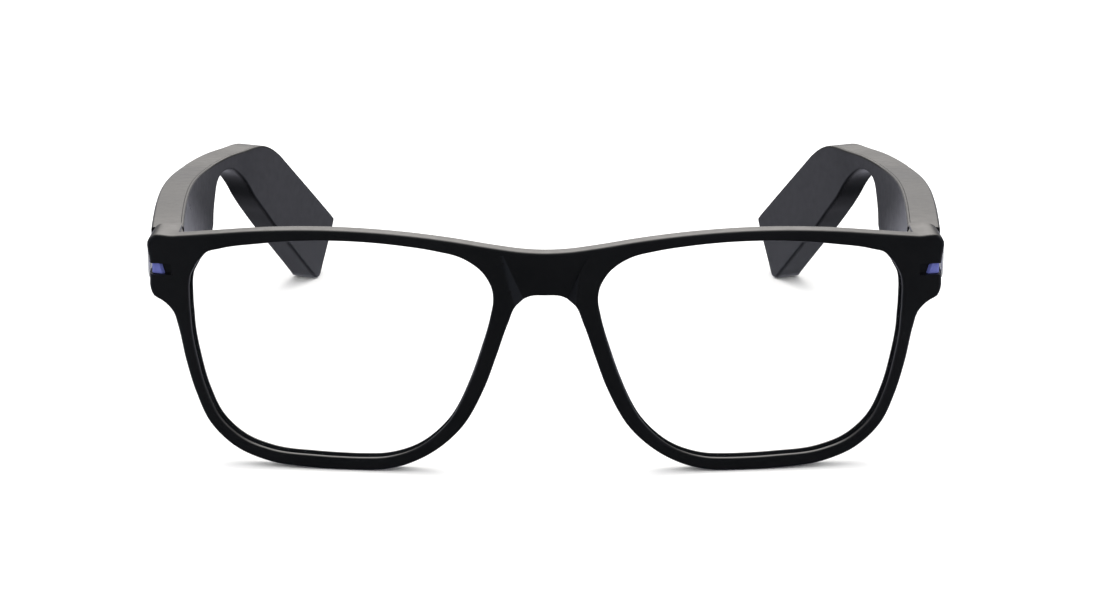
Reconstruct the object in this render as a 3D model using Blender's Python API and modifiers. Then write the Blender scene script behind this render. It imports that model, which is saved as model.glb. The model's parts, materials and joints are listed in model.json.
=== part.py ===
"""Smart glasses: a full-rim frame with two folding temples that hold the electronics.

Standalone Blender 4.5 script. Sizes are in millimetres and become metres as each mesh is made.
The glasses stand on the rims and on the tips of the temples, fronts facing -Y, +Z up.
The wearer's right is at -X (side -1) and the wearer's left at +X (side +1).
"""
import math

import bmesh
import bpy
import numpy as np
from mathutils import Matrix, Vector

MM = 0.001
SIDES = {"right": -1, "left": 1}

# Front
FRONT_HEIGHT = 47.65
END_HALF_WIDTH = 73.9
WRAP_RADIUS = 380.0
TILT = math.radians(3.0)
RIM_THICKNESS = 3.4
EDGE_ROUND = 0.5
LENS_EDGE_ROUND = 0.35
STATION_SPACING = 3.4
FACE_ROWS = 3

# Lug behind each end piece, which carries the hinge
LUG_REAR_Y = 15.0
LUG_INNER_X = 68.7
LUG_RAMP = 0.5
LUG_BOTTOM_Z = 32.6
LUG_SIDE_LEAN = -0.03

# Outer edge of the front and the lens opening, from the middle of the brow out, round the end
# piece, under the rim and up the nose to the bridge: (outer x, outer z), (opening x, opening z)
BROW = [((0.0, 43.8), (12.0, 40.3)), ((4.7, 44.05), (13.4, 41.5)), ((9.1, 44.65), (15.8, 42.85)),
        ((17.9, 46.05), (20.2, 44.15)), ((26.7, 47.05), (26.8, 45.15)), ((40.0, 47.65), (40.1, 45.8)),
        ((53.4, 47.1), (53.6, 44.7)), ((62.4, 46.15), (60.4, 43.45)),
        ((LUG_INNER_X, 45.5), (63.2, 42.4)), ((LUG_INNER_X + LUG_RAMP, 45.45), (63.5, 42.1)),
        ((73.2, 45.05), (65.0, 40.3))]
END_PIECE = [((73.75, 44.5), (65.6, 39.2)), ((73.8, 40.1), (66.2, 37.9)), ((73.9, 37.4), (66.5, 36.4)),
             ((73.9, 34.9), (66.6, 34.9)), ((73.3, 33.4), (66.6, 33.6)),
             ((71.9, LUG_BOTTOM_Z), (66.6, LUG_BOTTOM_Z + 0.1)),
             ((71.2, LUG_BOTTOM_Z - LUG_RAMP), (66.6, LUG_BOTTOM_Z - LUG_RAMP - 0.3)),
             ((69.7, 30.3), (66.5, 29.9)), ((69.0, 27.8), (66.4, 27.3))]
LOWER_RIM = [((67.75, 21.0), (65.5, 21.2)), ((66.1, 14.6), (64.0, 15.0)), ((63.4, 8.3), (61.4, 9.3)),
             ((58.6, 3.65), (57.3, 5.55)), ((52.6, 1.2), (52.2, 3.6)), ((43.5, 0.12), (43.6, 2.75)),
             ((38.2, -0.03), (38.2, 2.57)), ((34.2, -0.03), (34.3, 2.57)), ((29.8, 0.4), (30.2, 2.85)),
             ((22.9, 3.0), (24.2, 4.9)), ((16.1, 8.7), (18.6, 9.8))]
NOSE = [((11.5, 17.0), (14.3, 18.0)), ((9.2, 23.4), (12.0, 24.6)), ((7.0, 29.9), (10.3, 31.0)),
        ((5.4, 33.85), (9.75, 34.3)), ((3.0, 35.55), (9.8, 35.9)), ((0.0, 35.8), (10.1, 37.2))]
BRIDGE_MIDDLE = [((0.0, 38.4), (10.6, 38.3)), ((0.0, 41.2), (11.2, 39.3))]

# Panel set back into the bridge: half-widths of its floor and of its sloped sides
PANEL_TOP_Z = 43.4
PANEL_BOTTOM_Z = 35.4
PANEL_DEPTH = 1.0
PANEL_FLOOR = (7.8, 4.4)
PANEL_EDGE = (7.9, 6.1)

# Moulded nose pads: a swelling of the back of the rim
PAD_CENTRE = (11.0, 20.5)
PAD_REACH = (5.0, 9.0)
PAD_HEIGHT = 2.6

# Lens and its groove
LENS_THICKNESS = 1.4
LENS_SEAT_DEPTH = 1.1
LENS_ENGAGEMENT = 0.5
LENS_GAP = 0.25

# Coloured inlay in a slot that wraps the outer corner, and the plate beside it
SLOT_Z = (37.75, 39.7)
SLOT_INNER_X = 69.7
SLOT_REAR_Y = 13.2
SLOT_DEPTH = 1.1
INLAY_FRONT_X = 72.1
INLAY_THICKNESS = 0.6
INLAY_SLANT = 0.5
INLAY_GAP = 0.12
PLATE_Z = (36.0, 43.0)
PLATE_Y = (9.6, 14.2)
PLATE_THICKNESS = 0.4
PLATE_GAP = 0.05

# Temple: side profile as matching (y, z) points of its top and its bottom edge
TEMPLE_FRONT_Y = 15.3
TEMPLE_THICKNESS = 6.2
TEMPLE_EDGE_ROUND = 0.7
SPLIT_OFFSET = 4.5
SPLIT_GAP = 0.2
BAR = [((15.3, 44.7), (15.3, 32.4)), ((24.0, 44.3), (24.0, 31.8)), ((32.0, 43.75), (32.0, 31.1)),
       ((47.0, 42.5), (47.0, 29.6)), ((65.0, 40.9), (65.0, 27.4)), ((79.5, 39.4), (79.5, 25.4)),
       ((82.3, 39.15), (82.6, 25.0)), ((83.6, 39.05), (83.7, 25.8)), ((85.0, 38.95), (84.3, 28.3))]
NECK = [((87.5, 38.9), (86.4, 31.7)), ((90.0, 38.8), (88.3, 34.1)), ((93.0, 38.7), (91.5, 35.2)),
        ((96.5, 38.6), (95.0, 35.3)), ((101.0, 38.35), (98.5, 34.5)), ((105.5, 37.95), (102.6, 32.7))]
HOOK = [((110.6, 37.5), (106.2, 29.8)), ((116.0, 35.5), (108.6, 26.6)), ((120.1, 32.7), (111.2, 23.5)),
        ((126.1, 27.3), (116.8, 17.7)), ((135.3, 19.2), (125.0, 9.0)), ((143.2, 12.3), (131.6, 2.2)),
        ((143.9, 11.2), (133.2, 0.0)), ((143.3, 9.8), (134.9, 0.0))]
# Plan of the temple's outer face: (y, x)
PLAN = [(15.3, 74.3), (26.0, 75.3), (40.0, 76.5), (55.0, 77.4), (66.0, 77.5), (79.0, 77.1),
        (88.0, 76.0), (96.0, 74.1), (101.0, 72.6), (105.5, 70.6), (109.5, 68.6), (115.0, 66.4),
        (127.0, 61.4), (139.0, 56.4), (145.0, 53.9)]
COVER_FRONT_Y = 18.2
PROFILE_STEP = 4.6

# Electronics pocket
POCKET_WALL = 1.2
POCKET_FRONT_Y = 19.6
POCKET_REAR_MARGIN = 3.0

# Hinge: a barrel of three knuckles on a vertical pin
HINGE_X = 67.35
HINGE_Y = 14.5
HINGE_Z = 39.0
BARREL_RADIUS = 0.9
KNUCKLE_HEIGHT = 1.8
KNUCKLE_GAP = 0.15
PIN_RADIUS = 0.4
PIN_RUNNING_GAP = 0.04
PIN_HEAD_RADIUS = 0.75
PIN_HEAD_HEIGHT = 0.5
LEAF_THICKNESS = 0.8
LEAF_HEIGHT = 6.8
TEMPLE_LEAF_Y = (20.4, 29.0)
TEMPLE_LEAF_OFFSET = 3.8
ARM_GAP = 0.2
SCREW_RADIUS = 0.45
SCREW_LENGTH = 2.0
SCREW_HEAD_RADIUS = 0.75
SCREW_HEAD_HEIGHT = 0.35
SCREW_SPREAD = 2.2
TEMPLE_SCREW_Y = (22.6, 27.0)
BOSS_RADIUS = 1.2
SMALL_GAP = 0.1
TOUCH_GAP = 0.3

# Electronics in the bar: spans along y, distances inwards from the outer face, heights
BOARD_Y = (31.0, 62.0)
BOARD_OFFSET = (3.2, 4.0)
BOARD_HEIGHT = 6.0
BOARD_RISE = 1.4
CAN_Y = (42.0, 52.0)
CAN_OFFSET = (1.7, 3.1)
CAN_HEIGHT = 5.0
SPEAKER_Y = (66.5, 77.5)
SPEAKER_OFFSET = (1.5, 4.2)
SPEAKER_HEIGHT = 6.6
SPEAKER_RISE = -0.6
MIC_Y = (32.5, 36.0)
MIC_OFFSET = (1.9, 3.1)
MIC_HEIGHT = 2.65
MIC_RISE = 2.4

# Battery in the paddle behind the ear, and its lead through the neck to the board
BATTERY_ENDS = ((113.6, 29.6), (128.0, 15.6))
BATTERY_OFFSET = (1.5, 4.1)
BATTERY_WIDTH = 8.4
LEAD_RADIUS = 0.35
LEAD_ROUTE = [(62.5, 38.5), (68.0, 38.2), (76.0, 37.75), (84.0, 37.3), (92.0, 36.95), (98.0, 36.6),
              (103.0, 35.4), (107.5, 33.5), (112.6, 30.6)]
LEAD_OFFSET = 2.9

# Controls, charging contacts and sound outlet in the underside of the bar
KEY_OFFSET = 2.8
KEY_WIDTH = 2.2
KEY_CLEARANCE = 0.2
KEY_PROUD = 0.5
KEY_FLANGE = 0.3
KEY_FLANGE_HEIGHT = 0.5
BUTTON_Y = 38.0
BUTTON_LENGTH = 8.0
BUTTON_TRAVEL = 0.4
ROCKER_Y = 54.0
ROCKER_LENGTH = 12.0
ROCKER_TILT = math.radians(2.5)
SWITCH_SIZE = (2.4, 2.2, 0.9)
CONTACT_Y = (24.0, 29.5)
CONTACT_RADIUS = 0.8
CONTACT_HEIGHT = 1.8
GRILLE_Y = 71.5
GRILLE_LENGTH = 9.0
GRILLE_WIDTH = 1.8
GRILLE_THICKNESS = 0.6
LED_PLACE = (49.0, 39.5)
LED_RADIUS = 0.6
MIC_SLOT_Y = 17.0
MIC_SLOT_LENGTH = 2.2
MIC_SLOT_WIDTH = 0.5
MIC_SLOT_DEPTH = 0.9
MIC_SLOT_OFFSET = 3.6


def lengths(points):
    """Distances between neighbouring points."""
    return np.linalg.norm(np.diff(points, axis=0), axis=1)


def smooth_through(points, counts, before, after):
    """Points on a smooth curve through the given ones, counts[i] of them from point i on."""
    path = np.vstack([before, points, after]).astype(float)
    spans = lengths(path)
    slopes = np.diff(path, axis=0) / spans[:, None]
    tangents = (slopes[:-1] * spans[1:, None] + slopes[1:] * spans[:-1, None]) / (spans[:-1] + spans[1:])[:, None]
    result = []
    for i, count in enumerate(counts):
        start, end, span = path[i + 1], path[i + 2], spans[i + 1]
        for t in np.arange(count) / count:
            result.append((2 * t ** 3 - 3 * t ** 2 + 1) * start + (t ** 3 - 2 * t ** 2 + t) * span * tangents[i]
                          + (3 * t ** 2 - 2 * t ** 3) * end + (t ** 3 - t ** 2) * span * tangents[i + 1])
    return np.array(result)


def normals_2d(points, closed):
    """Unit normals of a path in a plane, to the left of its direction."""
    if closed:
        tangents = np.roll(points, -1, 0) - np.roll(points, 1, 0)
    else:
        tangents = np.gradient(points, axis=0)
    normals = np.stack([-tangents[:, 1], tangents[:, 0]], 1)
    return normals / np.linalg.norm(normals, axis=1)[:, None]


def step_up(value, low, high):
    """0 below low, 1 above high and straight between."""
    return min(1.0, max(0.0, (value - low) / (high - low)))


# Scene helpers

def material(name, color, roughness, metallic=0.0, alpha=1.0):
    """A Principled material."""
    made = bpy.data.materials.get(name) or bpy.data.materials.new(name)
    made.use_nodes = True
    shader = made.node_tree.nodes["Principled BSDF"]
    shader.inputs["Base Color"].default_value = (*color, 1.0)
    shader.inputs["Roughness"].default_value = roughness
    shader.inputs["Metallic"].default_value = metallic
    shader.inputs["Alpha"].default_value = alpha
    return made


def clear_scene():
    """Remove what the file starts with and make the two collections."""
    for item in list(bpy.data.objects):
        bpy.data.objects.remove(item)
    for name in ("smart_glasses", "cutters"):
        bpy.context.scene.collection.children.link(bpy.data.collections.new(name))


def add_object(name, mesh_data, finish, is_cutter=False):
    """Link a mesh as an object in its collection."""
    made = bpy.data.objects.new(name, mesh_data)
    bpy.data.collections["cutters" if is_cutter else "smart_glasses"].objects.link(made)
    if is_cutter:
        made.hide_render = True
        made.display_type = "WIRE"
    else:
        mesh_data.materials.append(finish)
    return made


def solid_from_bmesh(name, shape, finish=None, is_cutter=False):
    """Turn a bmesh in millimetres into an object in metres with its faces pointing out."""
    bmesh.ops.scale(shape, vec=(MM, MM, MM), verts=shape.verts)
    bmesh.ops.recalc_face_normals(shape, faces=shape.faces)
    data = bpy.data.meshes.new(name)
    shape.to_mesh(data)
    shape.free()
    data.shade_smooth()
    data.set_sharp_from_angle(angle=math.radians(35))
    return add_object(name, data, finish, is_cutter)


def loft(shape, sections, close_ends=True):
    """Skin a row of sections, each a closed loop of the same number of points."""
    rows = [[shape.verts.new(point) for point in section] for section in sections]
    for row, following in zip(rows, rows[1:]):
        for i in range(len(row)):
            j = (i + 1) % len(row)
            shape.faces.new((row[i], row[j], following[j], following[i]))
    if close_ends:
        shape.faces.new(rows[0])
        shape.faces.new(rows[-1])


def loft_solid(name, sections, finish=None, is_cutter=False):
    """One lofted solid."""
    shape = bmesh.new()
    loft(shape, sections)
    return solid_from_bmesh(name, shape, finish, is_cutter)


def prism(name, outline, low, high, placed, finish=None, is_cutter=False):
    """Extrude a flat outline between two heights; placed turns (u, v, height) into a point."""
    sections = [[placed(u, v, height) for u, v in outline] for height in (low, high)]
    return loft_solid(name, sections, finish, is_cutter)


def turned(name, profile, centre, axis, finish=None, is_cutter=False, sides=16):
    """Turn (radius, height) points about an axis; the ends close on the axis."""
    turn = Vector((0, 0, 1)).rotation_difference(Vector(axis)).to_matrix()
    sections = []
    for radius, height in profile:
        ring = [Vector((radius * math.cos(a), radius * math.sin(a), height))
                for a in np.arange(sides) * 2 * math.pi / sides]
        sections.append([Vector(centre) + turn @ point for point in ring])
    return loft_solid(name, sections, finish, is_cutter)


def oriented_box(name, centre, along, thin, size, finish=None, is_cutter=False):
    """A box with its length on one direction and its thickness on another: (length, thickness, width)."""
    along = Vector(along).normalized()
    thin = (Vector(thin) - along * Vector(thin).dot(along)).normalized()
    axes = Matrix((along, thin, along.cross(thin))).transposed()
    shape = bmesh.new()
    bmesh.ops.create_cube(shape, size=1.0)
    for vert in shape.verts:
        vert.co = Vector(centre) + axes @ Vector(tuple(c * s for c, s in zip(vert.co, size)))
    return solid_from_bmesh(name, shape, finish, is_cutter)


def join(target, other, operation="DIFFERENCE"):
    """Cut one object from another, or unite them, with a Boolean modifier."""
    modifier = target.modifiers.new(other.name, "BOOLEAN")
    modifier.operation = operation
    modifier.object = other


def stadium(half_length, half_width, steps=4):
    """A slot outline with round ends, along the first direction."""
    reach = half_length - half_width
    ends = []
    for centre, start in ((reach, -math.pi / 2), (-reach, math.pi / 2)):
        for angle in start + np.arange(steps + 1) * math.pi / steps:
            ends.append((centre + half_width * math.cos(angle), half_width * math.sin(angle)))
    return ends


# Front

def panel_recess(x, z):
    """How far the bridge panel is set back at a point of the front."""
    down = (PANEL_TOP_Z - z) / (PANEL_TOP_Z - PANEL_BOTTOM_Z)
    if down <= 0:
        return 0.0
    floor = PANEL_FLOOR[0] + (PANEL_FLOOR[1] - PANEL_FLOOR[0]) * down
    edge = PANEL_EDGE[0] + (PANEL_EDGE[1] - PANEL_EDGE[0]) * down
    return PANEL_DEPTH * down * (1 - step_up(abs(x), floor, edge))


def front_y(x, z):
    """Y of the wrapped and tilted front surface."""
    return x * x / (2 * WRAP_RADIUS) + (FRONT_HEIGHT - z) * math.tan(TILT)


def side_lean(x):
    """How far a wall leans inwards for each millimetre that it goes back."""
    blend = step_up(abs(x), 67.0, 72.5)
    return (1 - blend) * abs(x) / WRAP_RADIUS + blend * LUG_SIDE_LEAN


def front_point(x, z, depth, recess=0.0):
    """A point of the front, depth behind its front surface."""
    back = depth + recess
    return (x - math.copysign(side_lean(x) * back, x), front_y(x, z) + back, z)


def back_depth(x, z):
    """Thickness of the front: the rim, the moulded nose pad, and the lug at the end piece."""
    pad = ((x - PAD_CENTRE[0]) / PAD_REACH[0]) ** 2 + ((z - PAD_CENTRE[1]) / PAD_REACH[1]) ** 2
    rim = RIM_THICKNESS + PAD_HEIGHT * max(0.0, 1 - pad) ** 2
    lug = LUG_REAR_Y - front_y(x, z)
    inside = step_up(x, LUG_INNER_X, LUG_INNER_X + LUG_RAMP) * step_up(z, LUG_BOTTOM_Z - LUG_RAMP, LUG_BOTTOM_Z)
    return rim + (lug - rim) * inside


def lug_wall_x():
    """Distance of the lug's inner wall from the middle of the glasses."""
    foot = front_point(LUG_INNER_X, HINGE_Z, RIM_THICKNESS)
    rear_x = LUG_INNER_X + LUG_RAMP
    rear = front_point(rear_x, HINGE_Z, LUG_REAR_Y - front_y(rear_x, HINGE_Z))
    return min(foot[0], rear[0])


def front_outlines():
    """Matching points of the outer edge and the lens opening, and how many follow the outer edge."""
    rim = BROW + END_PIECE + LOWER_RIM + NOSE
    outer = np.array([pair[0] for pair in rim])
    opening = np.array([pair[1] for pair in rim + BRIDGE_MIDDLE])
    counts = [max(1, round(length / STATION_SPACING)) for length in lengths(outer)]
    middle = np.array([pair[0] for pair in [NOSE[-1]] + BRIDGE_MIDDLE + [BROW[0]]])
    mirrored = np.array([-1, 1])
    edge = smooth_through(outer, counts, outer[1] * mirrored, outer[-2] * mirrored)
    edge = np.vstack([edge, outer[-1]])
    edge[:, 1] = np.maximum(edge[:, 1], 0.0)
    edge[0, 0] = edge[-1, 0] = 0.0
    closing = np.vstack([opening, opening[:1]])
    hole = smooth_through(closing, counts + [1] * len(BRIDGE_MIDDLE) + [1], opening[-1], opening[1])
    return edge, hole, middle[1:-1]


def lug_fraction(start, end, fraction):
    """Where a row of the front crosses from opening to edge; the middle rows follow the lug's wall."""
    if not 0 < fraction < 1 or not start[0] < LUG_INNER_X < end[0] or end[1] < LUG_BOTTOM_Z - LUG_RAMP - 0.1:
        return fraction
    wall_x = LUG_INNER_X if fraction < 0.5 else LUG_INNER_X + LUG_RAMP
    return min(0.97, (wall_x - start[0]) / (end[0] - start[0]))


def groove_profile(depth):
    """(distance from the opening into the rim, depth) round the inside of the rim."""
    groove_front = LENS_SEAT_DEPTH - LENS_GAP
    groove_back = LENS_SEAT_DEPTH + LENS_THICKNESS + LENS_GAP
    floor = LENS_ENGAGEMENT + LENS_GAP
    return [(0.0, depth - LENS_EDGE_ROUND), (0.0, groove_back), (floor, groove_back),
            (floor, groove_front), (0.0, groove_front), (0.0, LENS_EDGE_ROUND)]


def front_frame(finish):
    """The front: one moulding with both rims, the bridge, the nose pads and the hinge lugs."""
    edge, hole, middle = front_outlines()
    stations = len(hole)
    open_count = len(edge)
    into_rim = normals_2d(hole, closed=True)
    into_edge = -normals_2d(edge, closed=False)
    into_edge[0] = (0, -1)
    into_edge[-1] = (0, 1)
    shape = bmesh.new()

    def ring(side_rows):
        return [[shape.verts.new(point) for point in row] for row in side_rows]

    def face_row(fraction, at_back):
        row = []
        for i in range(stations):
            start = hole[i] + into_rim[i] * LENS_EDGE_ROUND
            end = edge[i] + into_edge[i] * EDGE_ROUND if i < open_count else middle[i - open_count]
            x, z = start + (end - start) * lug_fraction(start, end, fraction)
            recess = panel_recess(x, z)
            row.append(front_point(x, z, back_depth(x, z) if at_back else recess))
        return row

    def inner_row(level):
        row = []
        for i in range(stations):
            x, z = hole[i]
            inset, depth = groove_profile(back_depth(x, z))[level]
            x, z = hole[i] + into_rim[i] * inset
            row.append(front_point(x, z, depth))
        return row

    def edge_row(at_back):
        row = []
        for x, z in edge:
            depth = back_depth(x, z) - EDGE_ROUND if at_back else EDGE_ROUND + panel_recess(x, z)
            row.append(front_point(x, z, depth))
        return row

    fractions = np.linspace(0, 1, FACE_ROWS + 1)
    front_rows = ring([face_row(f, False) for f in fractions])
    back_rows = ring([face_row(f, True) for f in reversed(fractions)])
    inner_rows = ring([inner_row(level) for level in range(len(groove_profile(1.0)))])
    loop_rows = front_rows[::-1] + inner_rows[::-1] + back_rows[::-1]
    for row, following in zip(loop_rows, loop_rows[1:]):
        for i in range(stations):
            j = (i + 1) % stations
            shape.faces.new((row[i], row[j], following[j], following[i]))
    edge_rows = [front_rows[-1]] + ring([edge_row(False), edge_row(True)]) + [back_rows[0]]
    for row, following in zip(edge_rows, edge_rows[1:]):
        for i in range(open_count - 1):
            shape.faces.new((row[i], row[i + 1], following[i + 1], following[i]))
    for vert in shape.verts:
        if abs(vert.co.x) < 1e-4:
            vert.co.x = 0.0
    made = solid_from_bmesh("front_frame", shape, finish)
    mirror = made.modifiers.new("both_sides", "MIRROR")
    mirror.merge_threshold = 0.00001
    return made


def lens(name, side, finish):
    """A clear lens whose edge sits in the rim's groove."""
    _, hole, _ = front_outlines()
    outline = hole + normals_2d(hole, closed=True) * LENS_ENGAGEMENT
    centre = outline.mean(axis=0)
    shape = bmesh.new()
    faces = []
    for depth in (LENS_SEAT_DEPTH, LENS_SEAT_DEPTH + LENS_THICKNESS):
        points = [front_point(*p, depth) for p in [*outline, centre]]
        faces.append([shape.verts.new((side * x, y, z)) for x, y, z in points])
    count = len(outline)
    for i in range(count):
        j = (i + 1) % count
        for face in faces:
            shape.faces.new((face[i], face[j], face[-1]))
        shape.faces.new((faces[0][i], faces[0][j], faces[1][j], faces[1][i]))
    return solid_from_bmesh(name, shape, finish)


def corner_strip(side, depth_near, depth_far, inner_x, rear_y, slant):
    """Plan outline of a strip that follows the end piece round its outer corner, at two depths."""
    z = sum(SLOT_Z) / 2
    corner = END_HALF_WIDTH

    def front_row(depth, end_x):
        return [(end_x, front_y(end_x, z) + depth), (corner - EDGE_ROUND - depth, front_y(corner, z) + depth)]

    def side_row(depth):
        x = corner - depth
        return [(x, front_y(corner, z) + EDGE_ROUND + depth), (x - LUG_SIDE_LEAN * (rear_y - 7.6), rear_y)]

    near = front_row(depth_near, inner_x) + side_row(depth_near)
    far = front_row(depth_far, inner_x - slant) + side_row(depth_far)
    return [(side * x, y) for x, y in near + far[::-1]]


def plan_point(x, y, height):
    """Placement of a plan outline that is extruded upwards."""
    return (x, y, height)


def inlay_slot(side_name, side, frame):
    """Cut the slot for the coloured inlay through the end piece's outer corner."""
    outline = corner_strip(side, -1.5, SLOT_DEPTH, SLOT_INNER_X, SLOT_REAR_Y, 0.0)
    cutter = prism(f"inlay_slot_{side_name}", outline, *SLOT_Z, plan_point, is_cutter=True)
    join(frame, cutter)


def accent_inlay(side_name, side, finish):
    """The coloured metal strip that lies in the slot."""
    far = SLOT_DEPTH - INLAY_GAP
    outline = corner_strip(side, far - INLAY_THICKNESS, far, INLAY_FRONT_X, SLOT_REAR_Y - INLAY_GAP, INLAY_SLANT)
    low, high = SLOT_Z[0] + INLAY_GAP, SLOT_Z[1] - INLAY_GAP
    return prism(f"accent_inlay_{side_name}", outline, low, high, plan_point, finish)


def side_trim(side_name, side, finish):
    """The thin polished plate on the outer side of the lug, open round the inlay."""
    def placed(y, z, proud):
        lean = LUG_SIDE_LEAN * (y - 7.6)
        return (side * (END_HALF_WIDTH - lean + proud), y, z)

    y0, y1 = PLATE_Y
    mid_y, mid_z = (y0 + y1) / 2, sum(PLATE_Z) / 2
    half_y, half_z = (y1 - y0) / 2, (PLATE_Z[1] - PLATE_Z[0]) / 2
    outline = [(mid_y + v, mid_z + u) for u, v in stadium(half_z, half_y)]
    plate = prism(f"side_trim_{side_name}", outline, PLATE_GAP, PLATE_GAP + PLATE_THICKNESS, placed, finish)
    z0, z1 = SLOT_Z
    window = [(PLATE_Y[0] + 0.8, z0), (PLATE_Y[1] - 0.8, z0), (PLATE_Y[1] - 0.8, z1), (PLATE_Y[0] + 0.8, z1)]
    join(plate, prism(f"trim_window_{side_name}", window, -1.0, 2.0, placed, is_cutter=True))
    return plate


# Temples

def plan_curve():
    """Dense plan of the temple's outer face."""
    points = np.array(PLAN)
    counts = [6] * (len(points) - 1)
    ends = 2 * points[0] - points[1], 2 * points[-1] - points[-2]
    return smooth_through(points, counts, *ends)


def temple_point(side, y, z, offset):
    """A point at a distance inwards from the temple's outer face, square to its plan."""
    plan = temple_point.plan
    x = np.interp(y, plan[:, 0], plan[:, 1])
    slope = np.interp(y, plan[:, 0], np.gradient(plan[:, 1], plan[:, 0]))
    size = math.hypot(1.0, slope)
    return (side * (x - offset / size), y + offset * slope / size, z)


def temple_direction(side, y0, z0, y1, z1):
    """Directions along and across a stretch of the temple's outer face."""
    start, end = Vector(temple_point(side, y0, z0, 0)), Vector(temple_point(side, y1, z1, 0))
    along = (end - start).normalized()
    across = Vector((-along.y, along.x, 0)) if side > 0 else Vector((along.y, -along.x, 0))
    return along, across.normalized()


def temple_stations(first_y, last_margin=0.0):
    """Matching points of the temple's top and bottom edges from first_y to the tip."""
    pairs = BAR + NECK + HOOK
    top = np.array([pair[0] for pair in pairs])
    bottom = np.array([pair[1] for pair in pairs])
    counts = [max(1, round(length / PROFILE_STEP)) for length in lengths((top + bottom) / 2)]
    rows = []
    for edge in (top, bottom):
        ends = 2 * edge[0] - edge[1], 2 * edge[-1] - edge[-2]
        rows.append(np.vstack([smooth_through(edge, counts, *ends), edge[-1]]))
    top, bottom = rows
    bottom[:, 1] = np.maximum(bottom[:, 1], 0.0)
    from_end = np.linalg.norm((top + bottom - top[-1] - bottom[-1]) / 2, axis=1)
    keep = (top[:, 0] > first_y + 0.5) & (from_end >= last_margin)
    if first_y <= TEMPLE_FRONT_Y:
        keep[0] = True
        return list(zip(top[keep], bottom[keep]))
    start = [np.array([first_y, np.interp(first_y, edge[:, 0], edge[:, 1])]) for edge in (top, bottom[:40])]
    return [tuple(start)] + list(zip(top[keep], bottom[keep]))


def temple_section(side, top, bottom, corners):
    """One section of a temple: corners are (inset from the top or bottom edge, from_top, offset)."""
    height = np.linalg.norm(bottom - top)
    down = (bottom - top) / height
    points = []
    for inset, from_top, offset in corners:
        reach = min(inset, 0.4 * height)
        y, z = top + down * reach if from_top else bottom - down * reach
        points.append(temple_point(side, y, z, offset))
    return points


def shell_corners(inner, rounded_inner):
    """Section of the shell, or of the cover, between two offsets."""
    r = TEMPLE_EDGE_ROUND
    outer_side = [(r, False, 0.0), (r * 4, False, 0.0), (r * 4, True, 0.0), (r, True, 0.0), (0.0, True, r)]
    if rounded_inner:
        inner_side = [(0.0, True, inner - r), (r, True, inner), (r, False, inner), (0.0, False, inner - r)]
    else:
        inner_side = [(0.0, True, inner), (0.0, False, inner)]
    return outer_side + inner_side + [(0.0, False, r)]


def temple_shell(side_name, side, finish):
    """Outer shell of a temple: full thickness at the hinge, open to the inside behind it."""
    front = [pair for pair in temple_stations(TEMPLE_FRONT_Y) if pair[0][0] < COVER_FRONT_Y - 0.2]
    step_row = temple_stations(COVER_FRONT_Y)[0]
    nose = [temple_section(side, *pair, shell_corners(TEMPLE_THICKNESS, True)) for pair in front + [step_row]]
    body = [temple_section(side, *pair, shell_corners(SPLIT_OFFSET, False)) for pair in temple_stations(COVER_FRONT_Y)]
    shell = loft_solid(f"temple_shell_{side_name}", body, finish)
    block = loft_solid(f"temple_nose_{side_name}", nose_overlap(side, nose), is_cutter=True)
    join(shell, block, "UNION")
    wall = POCKET_WALL
    corners = [(wall, False, wall), (wall, True, wall), (wall, True, SPLIT_OFFSET + 1), (wall, False, SPLIT_OFFSET + 1)]
    rows = np.array(temple_stations(POCKET_FRONT_Y, POCKET_REAR_MARGIN))
    between = [rows[0], *(rows[:-1] + rows[1:]) / 2, rows[-1]]
    pocket = [temple_section(side, *pair, corners) for pair in between]
    join(shell, loft_solid(f"pocket_{side_name}", pocket, is_cutter=True))
    return shell


def nose_overlap(side, sections):
    """Sections of the hinge block, run on a little into the shell so that the two unite."""
    pair = temple_stations(COVER_FRONT_Y)
    inset = 0.05
    r = TEMPLE_EDGE_ROUND
    corners = [(r, False, inset), (r * 4, False, inset), (r * 4, True, inset), (r, True, inset),
               (inset, True, r), (inset, True, SPLIT_OFFSET - r), (r, True, SPLIT_OFFSET - inset),
               (r, False, SPLIT_OFFSET - inset), (inset, False, SPLIT_OFFSET - r), (inset, False, r)]
    return sections + [temple_section(side, *pair[0], corners), temple_section(side, *pair[1], corners)]


def temple_cover(side_name, side, finish):
    """Flat inner cover of a temple."""
    inner, outer, r = SPLIT_OFFSET + SPLIT_GAP, TEMPLE_THICKNESS, TEMPLE_EDGE_ROUND
    corners = [(0.0, False, inner), (0.0, True, inner), (0.0, True, outer - r), (r, True, outer),
               (r, False, outer), (0.0, False, outer - r)]
    rows = temple_stations(COVER_FRONT_Y + SPLIT_GAP)
    return loft_solid(f"temple_cover_{side_name}", [temple_section(side, *pair, corners) for pair in rows], finish)


def bar_middle(y):
    """Height of the middle of the bar."""
    return (bar_edge(y, 0) + bar_edge(y, 1)) / 2


def bar_edge(y, which):
    """Height of the bar's top edge (0) or bottom edge (1)."""
    edge = np.array([pair[which] for pair in BAR])
    return float(np.interp(y, edge[:, 0], edge[:, 1]))


def box_in_bar(name, side, span, offsets, height, rise, finish):
    """A flat electronic part inside the bar, in line with it."""
    y0, y1 = span
    ends = [Vector(temple_point(side, y, bar_middle(y) + rise, sum(offsets) / 2)) for y in span]
    along, across = temple_direction(side, y0, bar_middle(y0), y1, bar_middle(y1))
    size = ((ends[1] - ends[0]).length, offsets[1] - offsets[0], height)
    return oriented_box(name, (ends[0] + ends[1]) / 2, along, across, size, finish)


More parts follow.
